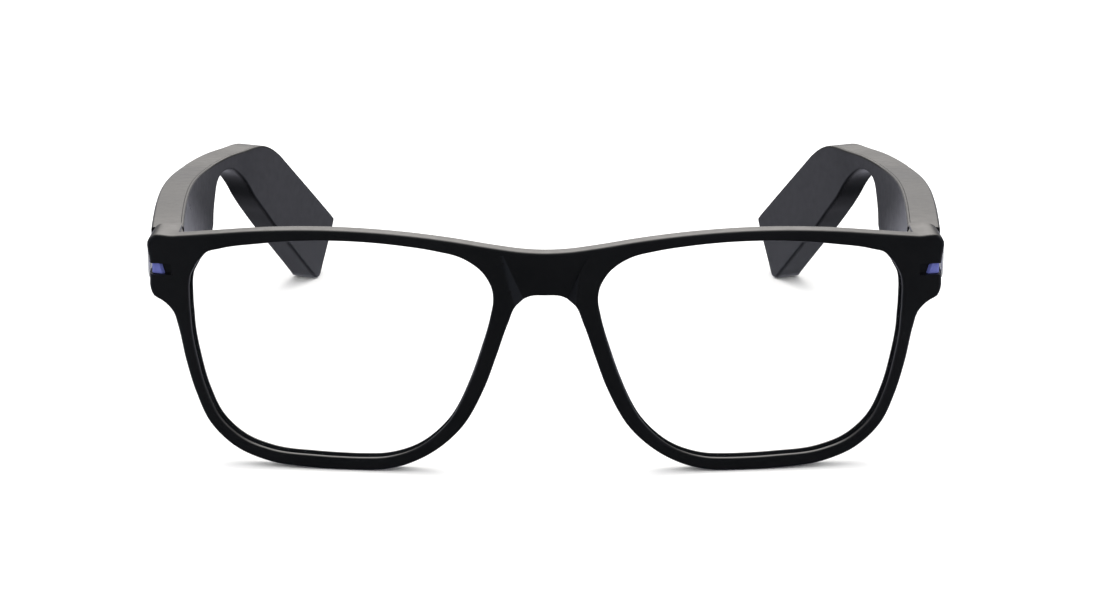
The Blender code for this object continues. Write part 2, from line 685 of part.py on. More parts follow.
def battery(side_name, side, finish):
    """Pouch cell in the paddle."""
    ends = [Vector(temple_point(side, *end, sum(BATTERY_OFFSET) / 2)) for end in BATTERY_ENDS]
    (y0, z0), (y1, z1) = BATTERY_ENDS
    along, across = temple_direction(side, y0, z0, y1, z1)
    size = ((ends[1] - ends[0]).length, BATTERY_OFFSET[1] - BATTERY_OFFSET[0], BATTERY_WIDTH)
    return oriented_box(f"battery_{side_name}", (ends[0] + ends[1]) / 2, along, across, size, finish)


def battery_lead(side_name, side, finish):
    """Lead from the board over the speaker and through the neck to the battery."""
    route = np.array([temple_point(side, y, z, LEAD_OFFSET) for y, z in LEAD_ROUTE])
    ends = 2 * route[0] - route[1], 2 * route[-1] - route[-2]
    path = np.vstack([smooth_through(route, [3] * (len(route) - 1), *ends), route[-1]])
    curve = bpy.data.curves.new(f"battery_lead_{side_name}", "CURVE")
    curve.dimensions = "3D"
    curve.bevel_depth = LEAD_RADIUS * MM
    curve.bevel_resolution = 2
    curve.use_fill_caps = True
    spline = curve.splines.new("POLY")
    spline.points.add(len(path) - 1)
    for point, place in zip(spline.points, path):
        point.co = (*(place * MM), 1.0)
    return add_object(curve.name, curve, finish)


class Underside:
    """Directions at a point of the bar's underside: along it, across it and up into it."""

    def __init__(self, side, y, offset=KEY_OFFSET):
        reach = 2.0
        self.place = Vector(temple_point(side, y, bar_edge(y, 1), offset))
        ahead = Vector(temple_point(side, y + reach, bar_edge(y + reach, 1), offset))
        behind = Vector(temple_point(side, y - reach, bar_edge(y - reach, 1), offset))
        self.along = (ahead - behind).normalized()
        self.across = self.along.cross(Vector((0, 0, 1))).normalized()
        self.up = self.across.cross(self.along).normalized()

    def point(self, u, v, height):
        """The point at u along, v across and a height above the underside."""
        return self.place + self.along * u + self.across * v + self.up * height


def key(name, spot, length, flange_gap, finish):
    """A key whose head shows in the underside and whose flange keeps it in."""
    head = stadium(length / 2, KEY_WIDTH / 2)
    flange = stadium(length / 2 + KEY_FLANGE, KEY_WIDTH / 2 + KEY_FLANGE)
    low = POCKET_WALL + flange_gap
    shape = bmesh.new()
    sections = [[spot.point(u, v, height) for u, v in outline] for outline, height in
                ((head, -KEY_PROUD), (head, low), (flange, low), (flange, low + KEY_FLANGE_HEIGHT))]
    loft(shape, sections)
    return solid_from_bmesh(name, shape, finish)


def key_slot(name, spot, length, width, shell):
    """The slot in the underside that a key or the grille sits in."""
    outline = stadium(length / 2 + KEY_CLEARANCE, width / 2 + KEY_CLEARANCE)
    join(shell, prism(name, outline, -2.0, POCKET_WALL + 0.6, spot.point, is_cutter=True))


def tact_switch(name, spot, u, height, finish):
    """A small switch above a key."""
    length, width, thickness = SWITCH_SIZE
    centre = spot.point(u, 0, height + thickness / 2)
    return oriented_box(name, centre, spot.along, spot.up, (length, thickness, width), finish)


def action_button(side_name, side, shell, finishes):
    """The press button and its switch."""
    spot = Underside(side, BUTTON_Y)
    key_slot(f"button_slot_{side_name}", spot, BUTTON_LENGTH, KEY_WIDTH, shell)
    button = key(f"action_button_{side_name}", spot, BUTTON_LENGTH, SMALL_GAP, finishes["black"])
    top = POCKET_WALL + SMALL_GAP + KEY_FLANGE_HEIGHT + BUTTON_TRAVEL + SMALL_GAP
    switch = tact_switch(f"button_switch_{side_name}", spot, 0, top, finishes["board"])
    return button, switch, spot


def volume_rocker(side_name, side, shell, finishes):
    """The volume rocker and the switches under its two ends."""
    flange_gap = (ROCKER_LENGTH / 2 + KEY_FLANGE) * math.sin(ROCKER_TILT) + SMALL_GAP
    spot = Underside(side, ROCKER_Y)
    key_slot(f"rocker_slot_{side_name}", spot, ROCKER_LENGTH, KEY_WIDTH, shell)
    rocker = key(f"volume_rocker_{side_name}", spot, ROCKER_LENGTH, flange_gap, finishes["black"])
    top = POCKET_WALL + 2 * flange_gap + KEY_FLANGE_HEIGHT
    reach = ROCKER_LENGTH / 2 - SWITCH_SIZE[0] / 2
    switches = [tact_switch(f"rocker_switch_{end}_{side_name}", spot, u, top, finishes["board"])
                for end, u in (("front", -reach), ("rear", reach))]
    return rocker, switches, spot


def charge_contacts(side_name, side, shell, finish):
    """Two gold pins flush with the underside."""
    pins = []
    for number, y in enumerate(CONTACT_Y, start=1):
        spot = Underside(side, y)
        hole = [(CONTACT_RADIUS + SMALL_GAP, -1.5), (CONTACT_RADIUS + SMALL_GAP, POCKET_WALL + 0.5)]
        join(shell, turned(f"contact_hole_{number}_{side_name}", hole, spot.place, spot.up, is_cutter=True, sides=12))
        profile = [(CONTACT_RADIUS, 0.0), (CONTACT_RADIUS, CONTACT_HEIGHT)]
        pins.append(turned(f"charge_contact_{number}_{side_name}", profile, spot.place, spot.up, finish, sides=12))
    return pins


def speaker_grille(side_name, side, shell, finish):
    """The grille over the sound outlet."""
    spot = Underside(side, GRILLE_Y)
    key_slot(f"grille_slot_{side_name}", spot, GRILLE_LENGTH, GRILLE_WIDTH, shell)
    outline = stadium(GRILLE_LENGTH / 2, GRILLE_WIDTH / 2)
    return prism(f"speaker_grille_{side_name}", outline, 0.3, 0.3 + GRILLE_THICKNESS, spot.point, finish)


def microphone_slot(side_name, side, shell):
    """Cut the small slot of the microphone in the top of the temple, just behind the hinge line."""
    z = bar_edge(MIC_SLOT_Y, 0)
    centre = temple_point(side, MIC_SLOT_Y, z, MIC_SLOT_OFFSET)
    size = (MIC_SLOT_LENGTH, 2 * MIC_SLOT_DEPTH, MIC_SLOT_WIDTH)
    join(shell, oriented_box(f"mic_slot_{side_name}", centre, (1, 0, 0), (0, 0, 1), size, is_cutter=True))


def status_light(side_name, side, cover, finish):
    """A small light in the inner cover."""
    inner, outer = SPLIT_OFFSET + SPLIT_GAP, TEMPLE_THICKNESS
    start = Vector(temple_point(side, *LED_PLACE, inner))
    axis = (Vector(temple_point(side, *LED_PLACE, outer)) - start).normalized()
    hole = [(LED_RADIUS + SMALL_GAP, -1.0), (LED_RADIUS + SMALL_GAP, 3.0)]
    join(cover, turned(f"light_hole_{side_name}", hole, start, axis, is_cutter=True, sides=12))
    profile = [(LED_RADIUS, 0.0), (LED_RADIUS, outer - inner - 0.05)]
    return turned(f"status_light_{side_name}", profile, start, axis, finish, sides=12)


# Hinge

def strip(path, thickness):
    """Plan outline of a bent strip of even thickness along a path."""
    path = np.array(path, dtype=float)
    normals = normals_2d(path, closed=False) * thickness / 2
    return [tuple(p) for p in np.vstack([path + normals, (path - normals)[::-1]])]


def temple_arm_path():
    """Plan of the arm from the middle knuckle into the temple, for the side at +X."""
    y = TEMPLE_LEAF_Y[0]
    x, plan_y, _ = temple_point(1, y, HINGE_Z, TEMPLE_LEAF_OFFSET)
    return [(HINGE_X + 0.1, HINGE_Y + 0.6), (HINGE_X + 0.6, HINGE_Y + 1.7), (HINGE_X + 3.3, HINGE_Y + 2.5),
            (x - 0.05, plan_y - 1.4), (x + 0.05, plan_y + 0.6)]


def mirrored_prism(name, side, outline, low, high, finish=None, is_cutter=False):
    """A plan outline drawn for +X, extruded between two heights on either side."""
    return prism(name, [(side * x, y) for x, y in outline], low, high, plan_point, finish, is_cutter)


def barrel_part(name, side, low, high, finish=None, is_cutter=False, radius=BARREL_RADIUS):
    """A stretch of the hinge barrel."""
    profile = [(radius, low), (radius, high)]
    return turned(name, profile, (side * HINGE_X, HINGE_Y, 0), (0, 0, 1), finish, is_cutter)


def knuckle_span(index):
    """Lowest and highest z of knuckle -1 (lower), 0 (middle) or 1 (upper)."""
    middle = HINGE_Z + index * (KNUCKLE_HEIGHT + KNUCKLE_GAP)
    return middle - KNUCKLE_HEIGHT / 2, middle + KNUCKLE_HEIGHT / 2


def pin_bore(side_name, side, leaf):
    """Bore a leaf's knuckles for the pin."""
    bore = barrel_part(f"pin_bore_{leaf.name}", side, HINGE_Z - 8, HINGE_Z + 8, is_cutter=True,
                       radius=(PIN_RADIUS + PIN_RUNNING_GAP) / math.cos(math.pi / 16))
    join(leaf, bore)


def front_leaf(side_name, side, frame, steel):
    """Hinge leaf on the inner wall of the lug, with the upper and lower knuckles and its screws."""
    x = lug_wall_x() - SMALL_GAP - LEAF_THICKNESS / 2
    low, high = HINGE_Z - LEAF_HEIGHT / 2, HINGE_Z + LEAF_HEIGHT / 2
    y0 = front_y(LUG_INNER_X, low) + RIM_THICKNESS + TOUCH_GAP
    y1 = HINGE_Y - BARREL_RADIUS
    leaf = mirrored_prism(f"hinge_front_leaf_{side_name}", side, strip([(x, y0), (x, y1)], LEAF_THICKNESS),
                          low, high, steel)
    for index in (-1, 1):
        z0, z1 = knuckle_span(index)
        label = f"{side_name}_{'upper' if index > 0 else 'lower'}"
        arm = strip([(x, y1 - 0.8), (x - 0.1, y1), (HINGE_X + 0.5, HINGE_Y - 0.6)], LEAF_THICKNESS * 0.9)
        join(leaf, mirrored_prism(f"front_arm_{label}", side, arm, z0 + 0.02, z1 - 0.02, is_cutter=True), "UNION")
        join(leaf, barrel_part(f"front_knuckle_{label}", side, z0, z1, is_cutter=True), "UNION")
    pin_bore(side_name, side, leaf)
    screws = []
    inwards = Vector((-side, 0, 0))
    face = side * (x - LEAF_THICKNESS / 2)
    for index, place in ((-1, "lower"), (1, "upper")):
        seat = Vector((face, (y0 + y1) / 2, HINGE_Z + index * SCREW_SPREAD))
        screws.append(screw(f"hinge_front_screw_{place}_{side_name}", seat, inwards, [leaf, frame], steel))
    return leaf, screws


def screw(name, seat, outwards, drilled, finish):
    """A pan-head screw with its head on a seat, and its hole in what it holds."""
    hole = [(SCREW_RADIUS + SMALL_GAP, -SCREW_LENGTH - 0.3), (SCREW_RADIUS + SMALL_GAP, 1.0)]
    cutter = turned(f"hole_{name}", hole, seat, outwards, is_cutter=True, sides=12)
    for piece in drilled:
        join(piece, cutter)
    profile = [(SCREW_RADIUS, -SCREW_LENGTH), (SCREW_RADIUS, 0.05), (SCREW_HEAD_RADIUS, 0.05),
               (SCREW_HEAD_RADIUS * 0.8, 0.05 + SCREW_HEAD_HEIGHT)]
    return turned(name, profile, seat, outwards, finish, sides=12)


def hinge_pin(side_name, side, steel):
    """The pin through the three knuckles."""
    low, high = knuckle_span(-1)[0], knuckle_span(1)[1] + SMALL_GAP
    profile = [(PIN_RADIUS, low), (PIN_RADIUS, high), (PIN_HEAD_RADIUS, high),
               (PIN_HEAD_RADIUS, high + PIN_HEAD_HEIGHT * 0.6), (PIN_HEAD_RADIUS * 0.7, high + PIN_HEAD_HEIGHT)]
    return turned(f"hinge_pin_{side_name}", profile, (side * HINGE_X, HINGE_Y, 0), (0, 0, 1), steel)


def temple_leaf(side_name, side, shell, steel):
    """Hinge leaf screwed to bosses inside the temple, with the middle knuckle."""
    y0, y1 = TEMPLE_LEAF_Y
    offsets = (TEMPLE_LEAF_OFFSET - LEAF_THICKNESS / 2, TEMPLE_LEAF_OFFSET + LEAF_THICKNESS / 2)
    ends = [Vector(temple_point(side, y, HINGE_Z, TEMPLE_LEAF_OFFSET)) for y in (y0, y1)]
    along, across = temple_direction(side, y0, HINGE_Z, y1, HINGE_Z)
    size = ((ends[1] - ends[0]).length, LEAF_THICKNESS, LEAF_HEIGHT * 0.8)
    leaf = oriented_box(f"hinge_temple_leaf_{side_name}", (ends[0] + ends[1]) / 2, along, across, size, steel)
    z0, z1 = knuckle_span(0)
    path = temple_arm_path()
    arm = strip(path, LEAF_THICKNESS)
    join(leaf, mirrored_prism(f"temple_arm_{side_name}", side, arm, z0 + 0.02, z1 - 0.02, is_cutter=True), "UNION")
    join(leaf, barrel_part(f"temple_knuckle_{side_name}", side, z0, z1, is_cutter=True), "UNION")
    pin_bore(side_name, side, leaf)
    channel = strip([(HINGE_X + 0.1, HINGE_Y + 0.7)] + path[1:], LEAF_THICKNESS + 2 * ARM_GAP)
    join(shell, mirrored_prism(f"arm_channel_{side_name}", side, channel, z0 - ARM_GAP, z1 + ARM_GAP, is_cutter=True))
    screws = []
    for place, y in zip(("front", "rear"), TEMPLE_SCREW_Y):
        root = Vector(temple_point(side, y, HINGE_Z, POCKET_WALL - 0.3))
        seat = Vector(temple_point(side, y, HINGE_Z, offsets[1]))
        outwards = (seat - root).normalized()
        boss_top = offsets[0] - SMALL_GAP - POCKET_WALL + 0.3
        profile = [(BOSS_RADIUS, 0.0), (BOSS_RADIUS, boss_top)]
        join(shell, turned(f"boss_{place}_{side_name}", profile, root, outwards, is_cutter=True, sides=12), "UNION")
        screws.append(screw(f"hinge_temple_screw_{place}_{side_name}", seat, outwards, [leaf, shell], steel))
    return leaf, screws


# Assembly

def axis_empty(name, place, parent):
    """An empty on a joint's axis, placed in millimetres."""
    made = bpy.data.objects.new(name, None)
    bpy.data.collections["smart_glasses"].objects.link(made)
    made.location = Vector(place) * MM
    attach([made], parent)
    return made


def attach(pieces, parent):
    """Parent pieces without moving them."""
    bpy.context.view_layer.update()
    for piece in pieces:
        if parent is not None:
            piece.parent = parent
            piece.matrix_parent_inverse = parent.matrix_world.inverted()


def build_temple(side_name, side, root, finishes):
    """One temple with all that it holds."""
    black, steel, board = finishes["black"], finishes["steel"], finishes["board"]
    shell = temple_shell(side_name, side, black)
    cover = temple_cover(side_name, side, black)
    leaf, screws = temple_leaf(side_name, side, shell, steel)
    microphone_slot(side_name, side, shell)
    pieces = [shell, cover, leaf, *screws]
    pieces.append(box_in_bar(f"main_board_{side_name}", side, BOARD_Y, BOARD_OFFSET, BOARD_HEIGHT, BOARD_RISE, board))
    pieces.append(box_in_bar(f"shield_can_{side_name}", side, CAN_Y, CAN_OFFSET, CAN_HEIGHT, BOARD_RISE, steel))
    pieces.append(box_in_bar(f"speaker_{side_name}", side, SPEAKER_Y, SPEAKER_OFFSET, SPEAKER_HEIGHT,
                             SPEAKER_RISE, finishes["black"]))
    pieces.append(box_in_bar(f"microphone_{side_name}", side, MIC_Y, MIC_OFFSET, MIC_HEIGHT, MIC_RISE, steel))
    pieces.append(speaker_grille(side_name, side, shell, steel))
    pieces.append(battery(side_name, side, finishes["foil"]))
    pieces.append(battery_lead(side_name, side, finishes["lead"]))
    pieces += charge_contacts(side_name, side, shell, finishes["gold"])
    axis = axis_empty(f"temple_{side_name}_axis", (side * HINGE_X, HINGE_Y, HINGE_Z), root)
    button, switch, spot = action_button(side_name, side, shell, finishes)
    pieces.append(switch)
    attach([button], axis_empty(f"action_button_{side_name}_axis", spot.place, axis))
    if side_name == "right":
        rocker, switches, spot = volume_rocker(side_name, side, shell, finishes)
        pieces += switches
        attach([rocker], axis_empty(f"volume_rocker_{side_name}_axis", spot.place, axis))
        pieces.append(status_light(side_name, side, cover, finishes["light"]))
    attach(pieces, axis)


def build_front(root, finishes):
    """The front with its lenses, trims and hinge leaves."""
    frame = front_frame(finishes["black"])
    pieces = [frame]
    for side_name, side in SIDES.items():
        inlay_slot(side_name, side, frame)
        leaf, screws = front_leaf(side_name, side, frame, finishes["steel"])
        pieces += [lens(f"lens_{side_name}", side, finishes["clear"]), leaf, *screws,
                   accent_inlay(side_name, side, finishes["blue"]), side_trim(side_name, side, finishes["steel"]),
                   hinge_pin(side_name, side, finishes["steel"])]
    attach(pieces, root)


def centre_on_origin(root):
    """Move the glasses so that the origin is under the middle of their box."""
    bpy.context.view_layer.update()
    depsgraph = bpy.context.evaluated_depsgraph_get()
    corners = []
    for item in bpy.data.collections["smart_glasses"].objects:
        if item.type != "EMPTY":
            shown = item.evaluated_get(depsgraph)
            corners += [shown.matrix_world @ Vector(corner) for corner in shown.bound_box]
    low = Vector(min(c[i] for c in corners) for i in range(3))
    high = Vector(max(c[i] for c in corners) for i in range(3))
    root.location = (-(low.x + high.x) / 2, -(low.y + high.y) / 2, -low.z)


def build():
    """Make every piece."""
    clear_scene()
    temple_point.plan = plan_curve()
    finishes = {
        "black": material("matte_black", (0.012, 0.012, 0.014), 0.5),
        "clear": material("clear_lens", (0.9, 0.95, 1.0), 0.05, alpha=0.25),
        "blue": material("blue_anodised", (0.1, 0.12, 0.45), 0.25, metallic=1.0),
        "steel": material("polished_steel", (0.8, 0.8, 0.82), 0.2, metallic=1.0),
        "gold": material("gold_plate", (0.9, 0.65, 0.25), 0.25, metallic=1.0),
        "board": material("green_board", (0.02, 0.12, 0.06), 0.5),
        "foil": material("cell_foil", (0.6, 0.6, 0.62), 0.35, metallic=0.8),
        "lead": material("lead_sleeve", (0.3, 0.02, 0.02), 0.5),
        "light": material("light_guide", (0.05, 0.05, 0.07), 0.2),
    }
    root = axis_empty("glasses_origin", (0, 0, 0), None)
    build_front(root, finishes)
    for side_name, side in SIDES.items():
        build_temple(side_name, side, root, finishes)
    attach(bpy.data.collections["cutters"].objects, root)
    centre_on_origin(root)


build()
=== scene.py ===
"""Smart glasses with fine surfaces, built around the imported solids.

Sizes are in millimetres in the maker's own frame: the front's skin starts near y = 0, the temples run
along +Y, and +Z is up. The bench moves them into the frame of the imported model, in metres.
The wearer's right is at -X and the wearer's left at +X.
"""
import json
import logging
import math
from dataclasses import dataclass, field
from enum import Enum
from typing import Callable, Iterable, Optional, Sequence

import bmesh
import bpy
import numpy as np
from mathutils import Matrix, Vector


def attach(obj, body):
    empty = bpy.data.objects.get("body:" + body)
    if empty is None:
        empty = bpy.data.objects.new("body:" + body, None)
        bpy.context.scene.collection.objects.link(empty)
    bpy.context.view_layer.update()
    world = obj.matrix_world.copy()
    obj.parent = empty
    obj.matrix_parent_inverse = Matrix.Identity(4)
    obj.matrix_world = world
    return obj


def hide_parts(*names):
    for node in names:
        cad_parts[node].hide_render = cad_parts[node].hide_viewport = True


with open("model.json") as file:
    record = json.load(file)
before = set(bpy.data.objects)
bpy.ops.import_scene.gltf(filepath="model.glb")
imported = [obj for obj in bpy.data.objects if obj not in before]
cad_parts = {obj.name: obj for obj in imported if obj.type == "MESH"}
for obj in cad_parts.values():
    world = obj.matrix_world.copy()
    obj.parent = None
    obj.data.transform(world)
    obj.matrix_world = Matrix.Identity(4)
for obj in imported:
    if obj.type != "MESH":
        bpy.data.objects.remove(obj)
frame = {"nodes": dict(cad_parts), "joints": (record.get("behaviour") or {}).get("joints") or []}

MM = 0.001
LOG = logging.getLogger("smart_glasses")
Pair = tuple[float, float]
Colour = tuple[float, float, float]
Placed = Callable[[float, float, float], Sequence[float]]


class Side(Enum):
    """The wearer's two sides; the value is the sign of X."""
    RIGHT = -1
    LEFT = 1

    @property
    def word(self) -> str:
        """The side's name as the nodes and bodies spell it."""
        return self.name.lower()


class Slot(Enum):
    """Material slots of the record."""
    MATTE = "matte_black"
    SATIN = "satin_black"
    LENS = "clear_lens"
    BLUE = "blue_anodised"
    POLISHED = "polished_steel"
    HINGE = "hinge_steel"
    SHIELD = "shield_steel"
    BOARD = "circuit_board"
    FOIL = "cell_foil"
    SLEEVE = "lead_sleeve"
    GOLD = "gold_plate"
    LIGHT = "light_guide"


# Curves and outlines

def lengths(points: np.ndarray) -> np.ndarray:
    """Distances between neighbouring points."""
    return np.linalg.norm(np.diff(points, axis=0), axis=1)


def smooth_through(points: np.ndarray, counts: Sequence[int], before: np.ndarray, after: np.ndarray) -> np.ndarray:
    """Points on a smooth curve through the given ones.

    Args:
        points: the points that the curve passes.
        counts: how many points to make from each given point on.
        before: a point that sets the direction at the start.
        after: a point that sets the direction at the end.

    Returns:
        The made points; the last given point isn't among them.
    """
    path = np.vstack([before, points, after]).astype(float)
    spans = lengths(path)
    slopes = np.diff(path, axis=0) / spans[:, None]
    ahead, behind = spans[1:, None], spans[:-1, None]
    tangents = (slopes[:-1] * ahead + slopes[1:] * behind) / (ahead + behind)
    made = []
    for i, count in enumerate(counts):
        start, end, span = path[i + 1], path[i + 2], spans[i + 1]
        for t in np.arange(count) / count:
            made.append((2 * t ** 3 - 3 * t ** 2 + 1) * start + (t ** 3 - 2 * t ** 2 + t) * span * tangents[i]
                        + (3 * t ** 2 - 2 * t ** 3) * end + (t ** 3 - t ** 2) * span * tangents[i + 1])
    return np.array(made)


def normals_2d(points: np.ndarray, closed: bool) -> np.ndarray:
    """Unit normals of a plane path, to the left of its direction."""
    if closed:
        tangents = np.roll(points, -1, 0) - np.roll(points, 1, 0)
    else:
        tangents = np.gradient(points, axis=0)
    normals = np.stack([-tangents[:, 1], tangents[:, 0]], 1)
    return normals / np.linalg.norm(normals, axis=1)[:, None]


def faired(points: np.ndarray, passes: int, closed: bool) -> np.ndarray:
    """Even out a dense path's curvature; an open path is mirrored in X at its ends."""
    flip = np.array([-1.0, 1.0])
    for _ in range(passes):
        if closed:
            before, after = np.roll(points, 1, 0), np.roll(points, -1, 0)
        else:
            before = np.vstack([points[1] * flip, points[:-1]])
            after = np.vstack([points[1:], points[-2] * flip])
        points = (before + 2 * points + after) / 4
    return points


def quarter(radius: float, steps: int) -> list[Pair]:
    """A quarter round as (across, along), from (radius, 0) to (0, radius)."""
    angles = np.arange(steps + 1) * math.pi / 2 / steps
    return [(radius - radius * math.sin(a), radius - radius * math.cos(a)) for a in angles]


def stadium(half_length: float, half_width: float, steps: int = 10) -> np.ndarray:
    """A slot outline with round ends, its length along the first direction."""
    reach = half_length - half_width
    points = []
    for centre, start in ((reach, -math.pi / 2), (-reach, math.pi / 2)):
        for angle in start + np.arange(steps + 1) * math.pi / steps:
            points.append((centre + half_width * math.cos(angle), half_width * math.sin(angle)))
    return np.array(points)


def strip(path: Sequence[Pair], thickness: float) -> np.ndarray:
    """Plan outline of a bent strip of even thickness along a path."""
    middle = np.array(path, dtype=float)
    across = normals_2d(middle, closed=False) * thickness / 2
    return np.vstack([middle + across, (middle - across)[::-1]])


def inset(outline: np.ndarray, distance: float) -> np.ndarray:
    """Move a closed outline inwards, whichever way round it runs."""
    following = np.roll(outline, -1, 0)
    area = np.sum(outline[:, 0] * following[:, 1] - following[:, 0] * outline[:, 1])
    return outline + normals_2d(outline, closed=True) * distance * math.copysign(1.0, area)


# Meshes

def skin(shape: bmesh.types.BMesh, rows: Sequence[Sequence[bmesh.types.BMVert]], closed: bool = True) -> None:
    """Join neighbouring rows of vertices with faces; each row is a loop, or a line if it isn't closed."""
    for row, following in zip(rows, rows[1:]):
        for i in range(len(row) - (not closed)):
            j = (i + 1) % len(row)
            shape.faces.new((row[i], row[j], following[j], following[i]))


def loft(shape: bmesh.types.BMesh, sections: Iterable[Sequence]) -> None:
    """Skin a row of sections, each a closed loop of the same number of points, and close both ends."""
    rows = [[shape.verts.new(point) for point in section] for section in sections]
    skin(shape, rows)
    shape.faces.new(rows[0])
    shape.faces.new(rows[-1])


def lofted(sections: Iterable[Sequence]) -> bmesh.types.BMesh:
    """A new shape with one lofted solid."""
    shape = bmesh.new()
    loft(shape, sections)
    return shape


def upright(x: float, y: float, z: float) -> tuple[float, float, float]:
    """The point itself, for a prism that stands on its plan."""
    return x, y, z


def prism(outline: np.ndarray, low: float, high: float, placed: Placed, chamfer: float = 0.0) -> bmesh.types.BMesh:
    """Extrude an outline between two heights, with chamfered rims.

    Args:
        outline: closed outline as (u, v) points.
        low: height of the first end.
        high: height of the second end.
        placed: turns (u, v, height) into a point.
        chamfer: width of the chamfers round both ends.

    Returns:
        The solid.
    """
    levels = [(low, 0.0), (high, 0.0)]
    if chamfer:
        levels = [(low, chamfer), (low + chamfer, 0.0), (high - chamfer, 0.0), (high, chamfer)]
    return lofted([[placed(u, v, height) for u, v in inset(outline, distance)] for height, distance in levels])


def turned(profile: Sequence[Pair], centre: Sequence[float], axis: Sequence[float],
           sides: int = 40) -> bmesh.types.BMesh:
    """Turn (radius, height) points about an axis; the ends close on the axis."""
    turn = Vector((0, 0, 1)).rotation_difference(Vector(axis)).to_matrix()
    sections = []
    for radius, height in profile:
        ring = [Vector((radius * math.cos(a), radius * math.sin(a), height))
                for a in np.arange(sides) * 2 * math.pi / sides]
        sections.append([Vector(centre) + turn @ point for point in ring])
    return lofted(sections)


def boxed(centre: Vector, along: Vector, thin: Vector, size: Sequence[float],
          round_edge: float = 0.0) -> bmesh.types.BMesh:
    """A box given by its length, thickness and width, with rounded edges.

    Args:
        centre: its middle.
        along: direction of its length.
        thin: direction of its thickness.
        size: length, thickness and width.
        round_edge: radius of its edges.

    Returns:
        The solid.
    """
    along = Vector(along).normalized()
    thin = (Vector(thin) - along * Vector(thin).dot(along)).normalized()
    axes = Matrix((along, thin, along.cross(thin))).transposed()
    shape = bmesh.new()
    bmesh.ops.create_cube(shape, size=1.0)
    for vert in shape.verts:
        vert.co = Vector(tuple(c * s for c, s in zip(vert.co, size)))
    if round_edge:
        bmesh.ops.bevel(shape, geom=list(shape.edges), offset=round_edge, segments=3, profile=0.5,
                        affect="EDGES")
    for vert in shape.verts:
        vert.co = Vector(centre) + axes @ vert.co
    return shape


@dataclass
class Bench:
    """Turns shapes in millimetres into placed, dressed pieces."""
    shift_y: float
    sharp_angle: float = math.radians(32)
    pieces: list[str] = field(default_factory=list)

    def raw(self, name: str, shape: bmesh.types.BMesh) -> bpy.types.Object:
        """Make an object of a shape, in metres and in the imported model's frame."""
        bmesh.ops.translate(shape, vec=(0, self.shift_y, 0), verts=shape.verts)
        bmesh.ops.scale(shape, vec=(MM, MM, MM), verts=shape.verts)
        bmesh.ops.recalc_face_normals(shape, faces=shape.faces)
        data = bpy.data.meshes.new(name)
        shape.to_mesh(data)
        shape.free()
        made = bpy.data.objects.new(name, data)
        bpy.context.scene.collection.objects.link(made)
        return made

    def worked(self, target: bpy.types.Object, tools: Sequence[tuple[bmesh.types.BMesh, str]]) -> None:
        """Cut tools from an object or unite them with it, and keep the result as its mesh.

        Args:
            target: the object that changes.
            tools: shapes with the Boolean operation that each is for.
        """
        cutters = []
        for number, (shape, operation) in enumerate(tools):
            cutter = self.raw(f"tool_{number}_{target.name}", shape)
            modifier = target.modifiers.new(cutter.name, "BOOLEAN")
            modifier.operation = operation
            modifier.object = cutter
            cutters.append(cutter)
        self.settle(target)
        for cutter in cutters:
            data = cutter.data
            bpy.data.objects.remove(cutter)
            bpy.data.meshes.remove(data)

    @staticmethod
    def settle(target: bpy.types.Object) -> None:
        """Replace an object's mesh by what its modifiers make of it."""
        bpy.context.view_layer.update()
        shown = target.evaluated_get(bpy.context.evaluated_depsgraph_get())
        made = bpy.data.meshes.new_from_object(shown)
        target.modifiers.clear()
        target.data = made

    def make(self, name: str, shape: bmesh.types.BMesh, finish: "Finish", body: str, *nodes: str,
             tools: Sequence[tuple[bmesh.types.BMesh, str]] = ()) -> None:
        """Make a piece of a shape, work it, dress it and let it ride.

        Args:
            name: its name.
            shape: its shape in millimetres.
            finish: what it is dressed in.
            body: the body that it moves with.
            nodes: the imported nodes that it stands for.
            tools: shapes with the Boolean operation that each is for.
        """
        piece = self.raw(name, shape)
        if tools:
            self.worked(piece, tools)
        self.finished(piece, finish, body, *nodes)

    def finished(self, piece: bpy.types.Object, finish: "Finish", body: str, *nodes: str) -> None:
        """Shade a piece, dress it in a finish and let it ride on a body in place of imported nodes."""
        piece.data.shade_smooth()
        piece.data.set_sharp_from_angle(angle=self.sharp_angle)
        weighted = piece.modifiers.new("even_normals", "WEIGHTED_NORMAL")
        weighted.keep_sharp = True
        piece.data.materials.clear()
        piece.data.materials.append(finish.material())
        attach(piece, body)
        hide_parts(*nodes)
        self.pieces.append(piece.name)
        LOG.info("%s rides on %s and stands for %s", piece.name, body, ", ".join(nodes))


# Finishes

